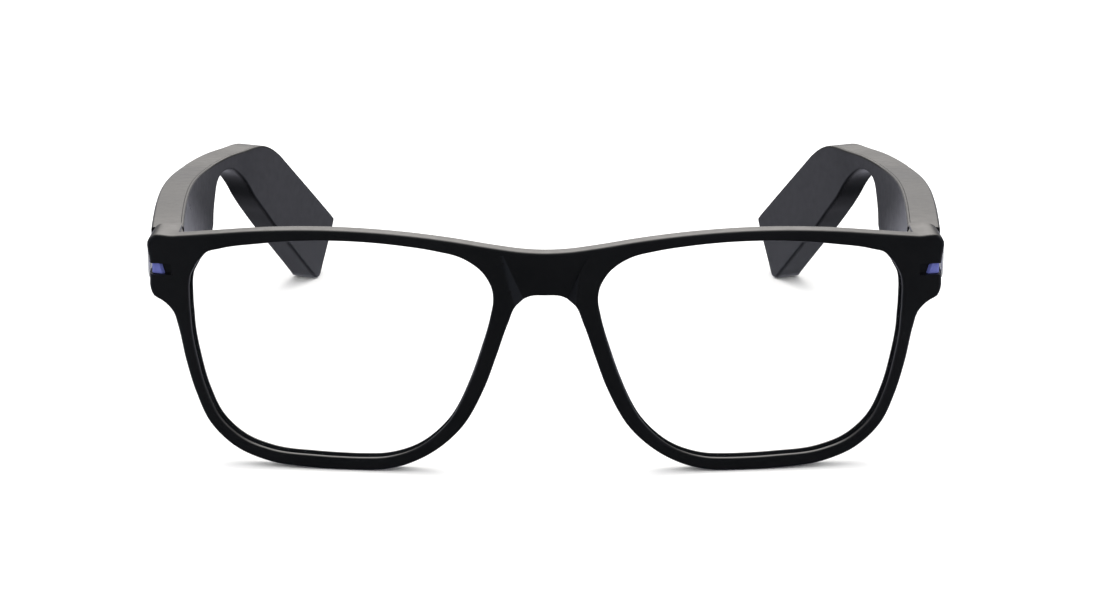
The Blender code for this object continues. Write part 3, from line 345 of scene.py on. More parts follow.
class Tree:
    """Short calls for wiring a Principled material. Its patterns are sized in millimetres."""

    def __init__(self, name: str) -> None:
        """Start a material with one Principled shader."""
        self.made = bpy.data.materials.new(name)
        self.made.use_nodes = True
        self.nodes = self.made.node_tree.nodes
        self.links = self.made.node_tree.links
        self.shader = self.nodes["Principled BSDF"]
        place = self.nodes.new("ShaderNodeTexCoord")
        self.place = self.math_vector("SCALE", place.outputs["Object"], scale=1 / MM)

    def math_vector(self, operation: str, source: bpy.types.NodeSocket, scale: float = 1.0,
                    factors: Optional[Sequence[float]] = None) -> bpy.types.NodeSocket:
        """A vector sum; returns its vector."""
        node = self.nodes.new("ShaderNodeVectorMath")
        node.operation = operation
        self.links.new(source, node.inputs[0])
        if operation == "SCALE":
            node.inputs["Scale"].default_value = scale
        if factors is not None:
            node.inputs[1].default_value = factors
        return node.outputs["Vector"]

    def stretched(self, factors: Sequence[float]) -> bpy.types.NodeSocket:
        """The place with each axis scaled, for brushed patterns."""
        return self.math_vector("MULTIPLY", self.place, factors=factors)

    def noise(self, scale: float, detail: float = 2.0,
              place: Optional[bpy.types.NodeSocket] = None) -> bpy.types.NodeSocket:
        """Cloudy noise; scale is in cells for each millimetre."""
        node = self.nodes.new("ShaderNodeTexNoise")
        node.inputs["Scale"].default_value = scale
        node.inputs["Detail"].default_value = detail
        self.links.new(place or self.place, node.inputs["Vector"])
        return node.outputs["Fac"]

    def cells(self, scale: float) -> bpy.types.NodeSocket:
        """Distance to the nearest of scattered points."""
        node = self.nodes.new("ShaderNodeTexVoronoi")
        node.inputs["Scale"].default_value = scale
        self.links.new(self.place, node.inputs["Vector"])
        return node.outputs["Distance"]

    def spread(self, source: bpy.types.NodeSocket, low: float, high: float, out_low: float,
               out_high: float) -> bpy.types.NodeSocket:
        """Map a value's range onto another one."""
        node = self.nodes.new("ShaderNodeMapRange")
        for name, value in (("From Min", low), ("From Max", high), ("To Min", out_low), ("To Max", out_high)):
            node.inputs[name].default_value = value
        self.links.new(source, node.inputs["Value"])
        return node.outputs["Result"]

    def mixed(self, share: bpy.types.NodeSocket, first: Colour | bpy.types.NodeSocket,
              second: Colour) -> bpy.types.NodeSocket:
        """Blend two colours; the first can be a socket."""
        node = self.nodes.new("ShaderNodeMix")
        node.data_type = "RGBA"
        self.links.new(share, node.inputs["Factor"])
        if isinstance(first, tuple):
            node.inputs["A"].default_value = (*first, 1.0)
        else:
            self.links.new(first, node.inputs["A"])
        node.inputs["B"].default_value = (*second, 1.0)
        return node.outputs["Result"]

    def wire(self, source: bpy.types.NodeSocket, name: str) -> None:
        """Plug a value into the shader."""
        self.links.new(source, self.shader.inputs[name])

    def set(self, name: str, value: float | Sequence[float]) -> None:
        """Set a value that is the same all over the surface."""
        self.shader.inputs[name].default_value = value

    def bump(self, height: bpy.types.NodeSocket, depth: float, strength: float = 1.0) -> None:
        """Raise the surface by a pattern; depth is in millimetres."""
        node = self.nodes.new("ShaderNodeBump")
        node.inputs["Strength"].default_value = strength
        node.inputs["Distance"].default_value = depth * MM
        self.links.new(height, node.inputs["Height"])
        self.wire(node.outputs["Normal"], "Normal")


@dataclass(frozen=True)
class Finish:
    """A surface finish and the record's slot that it comes from; subclasses wire its material."""
    name: str
    slot: Slot

    def material(self) -> bpy.types.Material:
        """The finish's material, made once."""
        return bpy.data.materials.get(self.name) or self.wired(Tree(self.name))

    def wired(self, tree: Tree) -> bpy.types.Material:
        """Wire the material."""
        raise NotImplementedError


@dataclass(frozen=True)
class MouldedPlastic(Finish):
    """Moulded plastic with a fine spark-eroded grain, a slow drift in tone and a little dust."""
    colour: Colour = (0.0026, 0.003, 0.0042)
    drift: Colour = (0.0038, 0.0042, 0.0056)
    dust: Colour = (0.05, 0.052, 0.056)
    roughness: float = 0.34
    grain: float = 9.0
    grain_depth: float = 0.002
    specular: float = 0.5
    dust_cells: float = 0.28
    dust_size: float = 0.035

    def wired(self, tree: Tree) -> bpy.types.Material:
        """Grain as bump, drift in colour and roughness, specks of dust."""
        slow = tree.noise(0.07, 3.0)
        toned = tree.mixed(tree.spread(slow, 0.35, 0.7, 0.0, 1.0), self.colour, self.drift)
        speck = tree.spread(tree.cells(self.dust_cells), self.dust_size * 0.5, self.dust_size, 1.0, 0.0)
        tree.wire(tree.mixed(speck, toned, self.dust), "Base Color")
        patchy = tree.noise(0.6, 4.0)
        tree.wire(tree.spread(patchy, 0.3, 0.75, self.roughness - 0.03, self.roughness + 0.05), "Roughness")
        tree.set("Specular IOR Level", self.specular)
        tree.bump(tree.noise(self.grain, 2.0), self.grain_depth)
        return tree.made


@dataclass(frozen=True)
class LensBlank(Finish):
    """Clear coated lens: nearly unseen face on, with a faint cool tint and a trace of smears."""
    tint: Colour = (0.3, 0.36, 0.4)
    alpha: float = 0.006
    smear: float = 0.005

    def wired(self, tree: Tree) -> bpy.types.Material:
        """Low alpha with a slow drift, smooth and glossy."""
        smears = tree.noise(0.12, 3.0)
        tree.wire(tree.spread(smears, 0.4, 0.8, self.alpha, self.alpha + self.smear), "Alpha")
        tree.wire(tree.mixed(smears, self.tint, (0.36, 0.38, 0.44)), "Base Color")
        tree.wire(tree.spread(smears, 0.3, 0.8, 0.02, 0.06), "Roughness")
        tree.set("IOR", 1.59)
        tree.set("Coat Weight", 1.0)
        tree.set("Coat Roughness", 0.02)
        return tree.made


@dataclass(frozen=True)
class Metal(Finish):
    """Worked metal: brushed, anodised, polished or plated, by its pattern's stretch and depth."""
    colour: Colour
    shade: Colour
    roughness: float
    brush: tuple[float, float, float] = (4.0, 1.0, 30.0)
    depth: float = 0.002
    variation: float = 0.08
    metal: float = 1.0

    def wired(self, tree: Tree) -> bpy.types.Material:
        """Fine lines in colour, roughness and relief."""
        lines = tree.noise(1.0, 3.0, tree.stretched(self.brush))
        stains = tree.noise(0.5, 3.0)
        tree.wire(tree.mixed(tree.spread(stains, 0.3, 0.75, 0.0, 1.0), self.colour, self.shade), "Base Color")
        tree.wire(tree.spread(lines, 0.3, 0.7, self.roughness - self.variation / 2,
                              self.roughness + self.variation / 2), "Roughness")
        tree.set("Metallic", self.metal)
        tree.bump(lines, self.depth)
        return tree.made


@dataclass(frozen=True)
class Board(Finish):
    """Green solder mask over copper tracks."""
    mask: Colour = (0.012, 0.09, 0.04)
    track: Colour = (0.03, 0.17, 0.07)

    def wired(self, tree: Tree) -> bpy.types.Material:
        """Tracks as bands of a stretched noise."""
        tracks = tree.spread(tree.noise(1.0, 0.0, tree.stretched((0.5, 0.6, 3.0))), 0.48, 0.52, 0.0, 1.0)
        tree.wire(tree.mixed(tracks, self.mask, self.track), "Base Color")
        tree.wire(tree.spread(tracks, 0.0, 1.0, 0.4, 0.3), "Roughness")
        tree.bump(tracks, 0.03)
        return tree.made


@dataclass(frozen=True)
class SmoothPlastic(Finish):
    """Plain glossy or rubbery plastic with faint flow marks."""
    colour: Colour
    shade: Colour
    roughness: float
    coat: float = 0.0

    def wired(self, tree: Tree) -> bpy.types.Material:
        """Flow marks in tone, roughness and relief."""
        flow = tree.noise(1.2, 3.0)
        tree.wire(tree.mixed(flow, self.colour, self.shade), "Base Color")
        tree.wire(tree.spread(flow, 0.3, 0.7, self.roughness, self.roughness + 0.08), "Roughness")
        tree.set("Coat Weight", self.coat)
        tree.bump(tree.noise(5.0, 2.0), 0.004)
        return tree.made


@dataclass(frozen=True)
class Palette:
    """Every finish of the glasses."""
    moulding: Finish = MouldedPlastic("matte_moulding", Slot.MATTE)
    casing: Finish = MouldedPlastic("temple_moulding", Slot.MATTE, roughness=0.33)
    lid: Finish = MouldedPlastic("satin_lid", Slot.SATIN, colour=(0.003, 0.0034, 0.0048),
                                 drift=(0.0044, 0.0048, 0.0064), roughness=0.34, grain=12.0, grain_depth=0.004)
    keys: Finish = MouldedPlastic("satin_keys", Slot.SATIN, roughness=0.3, grain=14.0, grain_depth=0.003)
    lens: Finish = LensBlank("coated_lens", Slot.LENS)
    blue: Finish = Metal("blue_anodising", Slot.BLUE, (0.12, 0.14, 0.42), (0.15, 0.17, 0.48), 0.3,
                         (2.0, 2.0, 40.0), 0.002, metal=0.35)
    polished: Finish = Metal("polished_plate", Slot.POLISHED, (0.78, 0.79, 0.82), (0.7, 0.7, 0.73), 0.16,
                             (6.0, 6.0, 2.0), 0.0008, 0.05, 0.4)
    hinge: Finish = Metal("turned_hinge_steel", Slot.HINGE, (0.5, 0.5, 0.51), (0.38, 0.38, 0.39), 0.3,
                          (3.0, 3.0, 30.0), 0.002)
    shield: Finish = Metal("shield_plate", Slot.SHIELD, (0.6, 0.6, 0.61), (0.48, 0.48, 0.49), 0.35,
                           (20.0, 2.0, 20.0), 0.0015)
    gold: Finish = Metal("gold_contact", Slot.GOLD, (0.9, 0.62, 0.25), (0.75, 0.5, 0.2), 0.22,
                         (8.0, 8.0, 8.0), 0.001)
    foil: Finish = Metal("pouch_foil", Slot.FOIL, (0.58, 0.58, 0.6), (0.45, 0.45, 0.47), 0.35,
                         (1.5, 1.5, 1.5), 0.02, 0.15)
    board: Finish = Board("solder_mask", Slot.BOARD)
    sleeve: Finish = SmoothPlastic("lead_sleeve_red", Slot.SLEEVE, (0.3, 0.015, 0.012), (0.22, 0.01, 0.01), 0.45)
    light: Finish = SmoothPlastic("smoked_light_guide", Slot.LIGHT, (0.03, 0.032, 0.045), (0.05, 0.052, 0.07),
                                  0.08, 1.0)


PALETTE = Palette()


# Front

@dataclass
class FrontForm:
    """Shape of the wrapped, tilted front; other sub-assemblies place themselves on it."""
    height: float = 47.65
    end_half_width: float = 73.9
    wrap_radius: float = 380.0
    tilt: float = math.radians(3.0)
    lug_side_lean: float = -0.03
    lug_side_from_y: float = 7.6
    lean_from_x: float = 67.0
    lean_to_x: float = 72.5

    def surface_y(self, x: float, z: float) -> float:
        """Y of the front's skin."""
        return x * x / (2 * self.wrap_radius) + (self.height - z) * math.tan(self.tilt)

    def side_lean(self, y: float) -> float:
        """How far inwards the lug's outer side has come at a y."""
        return self.lug_side_lean * (y - self.lug_side_from_y)

    def lean(self, x: float) -> float:
        """How far a wall leans inwards for each millimetre that it goes back."""
        blend = min(1.0, max(0.0, (abs(x) - self.lean_from_x) / (self.lean_to_x - self.lean_from_x)))
        return (1 - blend) * abs(x) / self.wrap_radius + blend * self.lug_side_lean

    def point(self, x: float, z: float, depth: float) -> tuple[float, float, float]:
        """A point at a depth behind the front's skin."""
        return (x - math.copysign(self.lean(x) * depth, x), self.surface_y(x, z) + depth, z)


@dataclass
class RimCurves:
    """Matching points of the front's outer edge and of the lens opening, given as pairs."""
    lug_inner_x: float = 68.7
    lug_ramp: float = 0.5
    lug_bottom_z: float = 32.6
    spacing: float = 0.75

    def corners(self) -> tuple[list[tuple[Pair, Pair]], list[tuple[Pair, Pair]]]:
        """The pairs round the rim from the middle of the brow, and those of the middle of the bridge."""
        wall, ramp_x = self.lug_inner_x, self.lug_inner_x + self.lug_ramp
        bottom, below = self.lug_bottom_z, self.lug_bottom_z - self.lug_ramp
        brow = [((0.0, 43.8), (12.0, 40.3)), ((4.7, 44.05), (13.4, 41.5)), ((9.1, 44.65), (15.8, 42.85)),
                ((17.9, 46.05), (20.2, 43.98)), ((26.7, 47.05), (26.8, 44.95)), ((40.0, 47.65), (40.1, 45.6)),
                ((53.4, 47.1), (53.6, 44.5)), ((62.4, 46.15), (60.4, 43.3)), ((wall, 45.45), (63.2, 42.3)),
                ((ramp_x, 45.4), (63.5, 42.0)), ((73.4, 45.05), (65.0, 40.2))]
        end_piece = [((73.83, 44.6), (65.6, 39.1)), ((73.8, 40.1), (66.2, 37.9)), ((73.9, 37.4), (66.5, 36.4)),
                     ((73.9, 34.9), (66.6, 34.9)), ((73.3, 33.4), (66.6, 33.6)),
                     ((71.9, bottom), (66.6, bottom + 0.1)), ((71.2, below), (66.6, below - 0.3)),
                     ((69.7, 30.3), (66.5, 29.9)), ((69.0, 27.8), (66.4, 27.3))]
        lower_rim = [((67.75, 21.0), (65.5, 21.2)), ((66.1, 14.6), (64.0, 15.0)), ((63.4, 8.3), (61.4, 9.3)),
                     ((58.6, 3.65), (57.3, 5.55)), ((52.6, 1.2), (52.2, 3.6)), ((43.5, 0.12), (43.6, 2.75)),
                     ((38.2, -0.03), (38.2, 2.57)), ((34.2, -0.03), (34.3, 2.57)), ((29.8, 0.4), (30.2, 2.85)),
                     ((22.9, 3.0), (24.2, 4.9)), ((16.1, 8.7), (18.6, 9.8))]
        nose = [((11.5, 17.0), (14.3, 18.0)), ((9.2, 23.4), (12.0, 24.6)), ((7.0, 29.9), (10.3, 31.0)),
                ((5.4, 33.55), (9.75, 34.3)), ((3.0, 35.15), (9.8, 35.9)), ((0.0, 35.35), (10.1, 37.2))]
        bridge_middle = [((0.0, 38.4), (10.6, 38.3)), ((0.0, 41.2), (11.2, 39.3))]
        return brow + end_piece + lower_rim + nose, bridge_middle

    def curves(self, fair: int = 0) -> tuple[np.ndarray, np.ndarray, np.ndarray]:
        """Dense curves with the same stations.

        Args:
            fair: how many fairing passes the lens opening gets.

        Returns:
            The outer edge, the lens opening, and the stations on the middle plane of the bridge.
        """
        rim, bridge = self.corners()
        outer = np.array([pair[0] for pair in rim])
        opening = np.array([pair[1] for pair in rim + bridge])
        counts = [max(1, round(length / self.spacing)) for length in lengths(outer)]
        mirrored = np.array([-1, 1])
        edge = smooth_through(outer, counts, outer[1] * mirrored, outer[-2] * mirrored)
        edge = np.vstack([edge, outer[-1]])
        edge[:, 1] = np.maximum(edge[:, 1], 0.0)
        edge[0, 0] = edge[-1, 0] = 0.0
        middle = np.array([outer[-1]] + [pair[0] for pair in bridge] + [outer[0]])
        middle_counts = [max(1, round(length / self.spacing)) for length in lengths(middle)]
        middle = smooth_through(middle, middle_counts, 2 * middle[0] - middle[1], 2 * middle[-1] - middle[-2])[1:]
        closing = np.vstack([opening, opening[:1]])
        hole = smooth_through(closing, counts + middle_counts, opening[-1], opening[1])
        return edge, faired(hole, fair, closed=True), middle


@dataclass
class LensSeat:
    """The lens and the groove that holds it."""
    thickness: float = 1.4
    seat_depth: float = 1.1
    engagement: float = 0.5
    gap: float = 0.25
    edge_round: float = 0.35
    lens_bevel: float = 0.15

    def profile(self, depth: float) -> list[Pair]:
        """Inside of the rim as (distance into the rim, depth), from the back skin to the front skin."""
        front = self.seat_depth - self.gap
        back = self.seat_depth + self.thickness + self.gap
        floor = self.engagement + self.gap
        lip = 0.08
        arc = quarter(self.edge_round, 4)
        rows = [(across, depth - along) for across, along in arc[1:]]
        rows += [(0.0, back + lip), (lip, back), (floor, back), (floor, front), (lip, front), (0.0, front - lip)]
        return rows + [(across, along) for across, along in reversed(arc[1:])]


@dataclass
class Front:
    """The moulded front with its lugs, nose pads and bridge panel, and the two lenses."""
    bench: Bench
    form: FrontForm = field(default_factory=FrontForm)
    curves: RimCurves = field(default_factory=RimCurves)
    seat: LensSeat = field(default_factory=LensSeat)
    rim_thickness: float = 3.4
    edge_round: float = 0.55
    lug_rear_y: float = 15.0
    lug_rear_round: float = 0.2
    panel_z: Pair = (43.4, 35.4)
    panel_depth: float = 1.0
    panel_half_width: Pair = (7.85, 7.85)
    panel_floor_half: float = 4.4
    panel_edge_half: float = 6.1
    pad_centre: Pair = (11.0, 20.5)
    pad_reach: Pair = (5.0, 9.0)
    pad_height: float = 2.6
    slot_z: Pair = (37.7, 39.9)
    slot_inner_x: float = 69.7
    slot_rear_y: float = 13.2
    slot_depth: float = 1.1

    def back_depth(self, x: float, z: float) -> float:
        """Thickness of the front: the rim, the moulded nose pad, and the lug at the end piece."""
        pad = sum(((place - centre) / reach) ** 2
                  for place, centre, reach in zip((x, z), self.pad_centre, self.pad_reach))
        rim = self.rim_thickness + self.pad_height * max(0.0, 1 - pad) ** 2
        lug = self.lug_rear_y - self.form.surface_y(x, z)
        wall, bottom, width = self.curves.lug_inner_x, self.curves.lug_bottom_z, self.curves.lug_ramp
        across = min(1.0, max(0.0, (x - wall) / width))
        down = min(1.0, max(0.0, (z - bottom + width) / width))
        return rim + (lug - rim) * across * down

    def face_fraction(self, start: np.ndarray, end: np.ndarray, row: int, rows: int) -> float:
        """Share of the way from the opening to the edge at which a row of the back face runs.

        Args:
            start: the row's start at the opening.
            end: its end at the outer edge.
            row: number of the row.
            rows: number of the last row.

        Returns:
            The share; the two middle rows follow the lug's inner wall where there is a lug.
        """
        share = row / rows
        if row in (0, rows):
            return share
        wall = self.curves.lug_inner_x
        if not start[0] < wall < end[0] or end[1] < self.curves.lug_bottom_z - self.curves.lug_ramp - 0.1:
            return share
        foot = min(0.94, (wall - start[0]) / (end[0] - start[0]))
        top = min(0.97, (wall + self.curves.lug_ramp - start[0]) / (end[0] - start[0]))
        half = rows // 2
        if row <= half:
            return foot * row / half
        return top + (1 - top) * (row - half - 1) / (rows - half - 1)

    def moulding(self) -> bmesh.types.BMesh:
        """Half of the front, open at the middle plane."""
        edge, hole, middle = self.curves.curves()
        stations, open_count, rows = len(hole), len(edge), 5
        into_rim = normals_2d(hole, closed=True)
        into_edge = -normals_2d(edge, closed=False)
        into_edge[0], into_edge[-1] = (0, -1), (0, 1)
        round_in, round_out = self.seat.edge_round, self.edge_round
        shape = bmesh.new()

        def face_row(row: int, at_back: bool) -> list[bmesh.types.BMVert]:
            """A row of the front or the back face."""
            made = []
            for i in range(stations):
                start = hole[i] + into_rim[i] * round_in
                end = edge[i] + into_edge[i] * round_out if i < open_count else middle[i - open_count]
                x, z = start + (end - start) * self.face_fraction(start, end, row, rows)
                made.append(shape.verts.new(self.form.point(x, z, self.back_depth(x, z) if at_back else 0.0)))
            return made

        def inner_row(level: int) -> list[bmesh.types.BMVert]:
            """A row inside the rim."""
            made = []
            for i in range(stations):
                into, depth = self.seat.profile(self.back_depth(*hole[i]))[level]
                x, z = hole[i] + into_rim[i] * into
                made.append(shape.verts.new(self.form.point(x, z, depth)))
            return made

        def edge_row(across: float, along: float, at_back: bool) -> list[bmesh.types.BMVert]:
            """A row of the rounded outer edge; the lug's rear edge is rounded less."""
            made = []
            for i in range(open_count):
                if at_back and edge[i][0] > self.curves.lug_inner_x and edge[i][1] > self.curves.lug_bottom_z:
                    along = min(along, self.lug_rear_round * along / round_out)
                x, z = edge[i] + into_edge[i] * across
                depth = self.back_depth(x, z) - along if at_back else along
                made.append(shape.verts.new(self.form.point(x, z, depth)))
            return made

        front_rows = [face_row(row, False) for row in range(rows + 1)]
        back_rows = [face_row(row, True) for row in reversed(range(rows + 1))]
        inner_rows = [inner_row(level) for level in range(len(self.seat.profile(1.0)))]
        loop_rows = front_rows[::-1] + inner_rows[::-1] + back_rows[::-1]
        skin(shape, loop_rows)
        arc = quarter(round_out, 5)
        edge_rows = ([front_rows[-1][:open_count]] + [edge_row(*step, False) for step in arc[1:]]
                     + [edge_row(*step, True) for step in reversed(arc[1:])] + [back_rows[0][:open_count]])
        skin(shape, edge_rows, closed=False)
        for vert in shape.verts:
            if abs(vert.co.x) < 1e-4:
                vert.co.x = 0.0
        return shape

    def panel(self) -> bmesh.types.BMesh:
        """Cutter of the set-back panel: level with the skin at its top, and deepest at its bottom."""
        top, bottom = self.panel_z
        sections = []
        for z in (top + 1.2, top, bottom - 3.0):
            down = (top - z) / (top - bottom)
            floor = self.panel_half_width[0] + (self.panel_floor_half - self.panel_half_width[0]) * max(0.0, down)
            rim = self.panel_half_width[1] + (self.panel_edge_half - self.panel_half_width[1]) * max(0.0, down)
            deep = self.panel_depth * down
            widen = (rim - floor) / max(deep, 0.05)
            out = 1.5
            section = [(-rim - widen * out, -out), (rim + widen * out, -out)]
            section += [(rim, 0.0)] if deep > 0 else []
            section += [(x, deep) for x in np.linspace(floor, -floor, 13)]
            section += [(-rim, 0.0)] if deep > 0 else []
            if deep <= 0:
                section.insert(2, (rim, deep + 0.5 * (-out - deep)))
                section.append((-rim, deep + 0.5 * (-out - deep)))
            sections.append([self.form.point(x, z, depth) for x, depth in section])
        return lofted(sections)

    def corner_strip(self, side: Side, near: float, far: float, inner_x: float, rear_y: float,
                     slant: float = 0.0) -> np.ndarray:
        """Plan outline of a strip that follows the end piece round its outer corner.

        Args:
            side: which end piece.
            near: depth of the strip's outer face.
            far: depth of its inner face.
            inner_x: where it ends on the front.
            rear_y: where it ends on the side.
            slant: how much further in its inner face ends.

        Returns:
            The outline as (x, y) points.
        """
        z, corner, form = sum(self.slot_z) / 2, self.form.end_half_width, self.form

        def path(depth: float, end_x: float) -> list[Pair]:
            """The strip's face at one depth, rounded at the corner."""
            front_end = (end_x, form.surface_y(end_x, z) + depth)
            rear_end = (corner - depth - form.side_lean(rear_y), rear_y)
            bend = max(0.05, self.edge_round + 0.3 - depth * 0.5)
            y = form.surface_y(corner, z) + depth
            arc = [(corner - depth - bend * (1 - math.sin(a)), y + bend * (1 - math.cos(a)))
                   for a in np.linspace(0, math.pi / 2, 9)]
            return [front_end, *arc, rear_end]

        outline = path(near, inner_x) + path(far, inner_x - slant)[::-1]
        return np.array([(side.value * x, y) for x, y in outline])

    def slot(self, side: Side) -> bmesh.types.BMesh:
        """Cutter of the slot for the coloured inlay, which follows the end piece round its outer corner."""
        outline = self.corner_strip(side, -1.5, self.slot_depth, self.slot_inner_x, self.slot_rear_y)
        return prism(outline, *self.slot_z, upright)

    def dress_moulding(self, drills: Sequence[bmesh.types.BMesh]) -> None:
        """Make the moulding whole, cut it and dress it."""
        made = self.bench.raw("moulded_front", self.moulding())
        mirror = made.modifiers.new("both_sides", "MIRROR")
        mirror.merge_threshold = 0.00001
        self.bench.settle(made)
        cuts = [(self.panel(), "DIFFERENCE"), *((self.slot(side), "DIFFERENCE") for side in Side),
                *((drill, "DIFFERENCE") for drill in drills)]
        self.bench.worked(made, cuts)
        self.bench.finished(made, PALETTE.moulding, "front", "front_frame")

    def lens(self, side: Side) -> bmesh.types.BMesh:
        """A lens whose bevelled edge sits in the rim's groove."""
        _, hole, _ = self.curves.curves()
        outline = hole + normals_2d(hole, closed=True) * self.seat.engagement
        centre = outline.mean(axis=0)
        front, back, bevel = self.seat.seat_depth, self.seat.seat_depth + self.seat.thickness, self.seat.lens_bevel
        shape = bmesh.new()
        rings = []
        shares = (0.25, 0.5, 0.75)
        for depth in (front, back):
            face = [[centre + (outline - centre) * share, depth] for share in shares]
            face.append([inset(outline, bevel), depth])
            rings += face if depth == front else [[outline, front + bevel], [outline, back - bevel], *face[::-1]]
        rows = []
        for ring, depth in rings:
            points = [self.form.point(x, z, depth) for x, z in ring]
            rows.append([shape.verts.new((side.value * x, y, z)) for x, y, z in points])
        skin(shape, rows)
        for row, depth in ((rows[0], front), (rows[-1], back)):
            x, y, z = self.form.point(*centre, depth)
            hub = shape.verts.new((side.value * x, y, z))
            for i in range(len(row)):
                shape.faces.new((row[i], row[(i + 1) % len(row)], hub))
        return shape

    def dress_lenses(self) -> None:
        """Make and dress both lenses."""
        for side in Side:
            self.bench.make(f"clear_lens_{side.word}", self.lens(side), PALETTE.lens, "front", f"lens_{side.word}")


@dataclass
class EndTrim:
    """The blue inlay in each end piece and the polished plate beside it."""
    front: Front
    inlay_front_x: float = 72.1
    inlay_thickness: float = 0.6
    inlay_slant: float = 0.5
    inlay_gap: float = 0.07
    inlay_lean: float = 0.6
    plate_z: Pair = (36.0, 43.0)
    plate_y: Pair = (9.6, 14.2)
    plate_thickness: float = 0.4
    plate_gap: float = 0.05
    window_margin: float = 0.8
    chamfer: float = 0.08

    def inlay(self, side: Side) -> bmesh.types.BMesh:
        """The bent strip in the slot."""
        far = self.front.slot_depth - self.inlay_gap
        outline = self.front.corner_strip(side, far - self.inlay_thickness, far, self.inlay_front_x,
                                          self.front.slot_rear_y - self.inlay_gap, self.inlay_slant)
        low, high = self.front.slot_z[0] + self.inlay_gap, self.front.slot_z[1] - self.inlay_gap

        def placed(x: float, y: float, z: float) -> tuple[float, float, float]:
            """A point of the strip; its inner end leans inwards towards the bottom."""
            lean = self.inlay_lean * (high - z) / (high - low) if abs(x) < self.inlay_front_x + 0.12 else 0.0
            return (x - side.value * lean, y, z)

        return prism(outline, low, high, placed, self.chamfer)

    def on_side(self, side: Side) -> Placed:
        """Placement on the lug's outer side: (y, z, height above it)."""
        form = self.front.form

        def placed(y: float, z: float, proud: float) -> tuple[float, float, float]:
            """A point of the plate."""
            return (side.value * (form.end_half_width - form.side_lean(y) + proud), y, z)

        return placed

    def plate(self, side: Side) -> bmesh.types.BMesh:
        """The plate before its window is cut."""
        (y0, y1), (z0, z1) = self.plate_y, self.plate_z
        outline = stadium((z1 - z0) / 2, (y1 - y0) / 2, 16)[:, ::-1] + np.array([(y0 + y1) / 2, (z0 + z1) / 2])
        return prism(outline, self.plate_gap, self.plate_gap + self.plate_thickness, self.on_side(side), self.chamfer)

    def window(self, side: Side) -> bmesh.types.BMesh:
        """Cutter of the window that lets the inlay show."""
        y0, y1 = self.plate_y[0] + self.window_margin, self.plate_y[1] - self.window_margin
        z0, z1 = self.front.slot_z
        outline = np.array([(y0, z0), (y1, z0), (y1, z1), (y0, z1)])
        return prism(outline, -1.0, 2.0, self.on_side(side))

    def dress(self) -> None:
        """Make and dress the inlays and the plates."""
        bench = self.front.bench
        for side in Side:
            bench.make(f"blue_inlay_{side.word}", self.inlay(side), PALETTE.blue, "front",
                       f"accent_inlay_{side.word}")
            bench.make(f"side_plate_{side.word}", self.plate(side), PALETTE.polished, "front",
                       f"side_trim_{side.word}", tools=[(self.window(side), "DIFFERENCE")])


# Temples

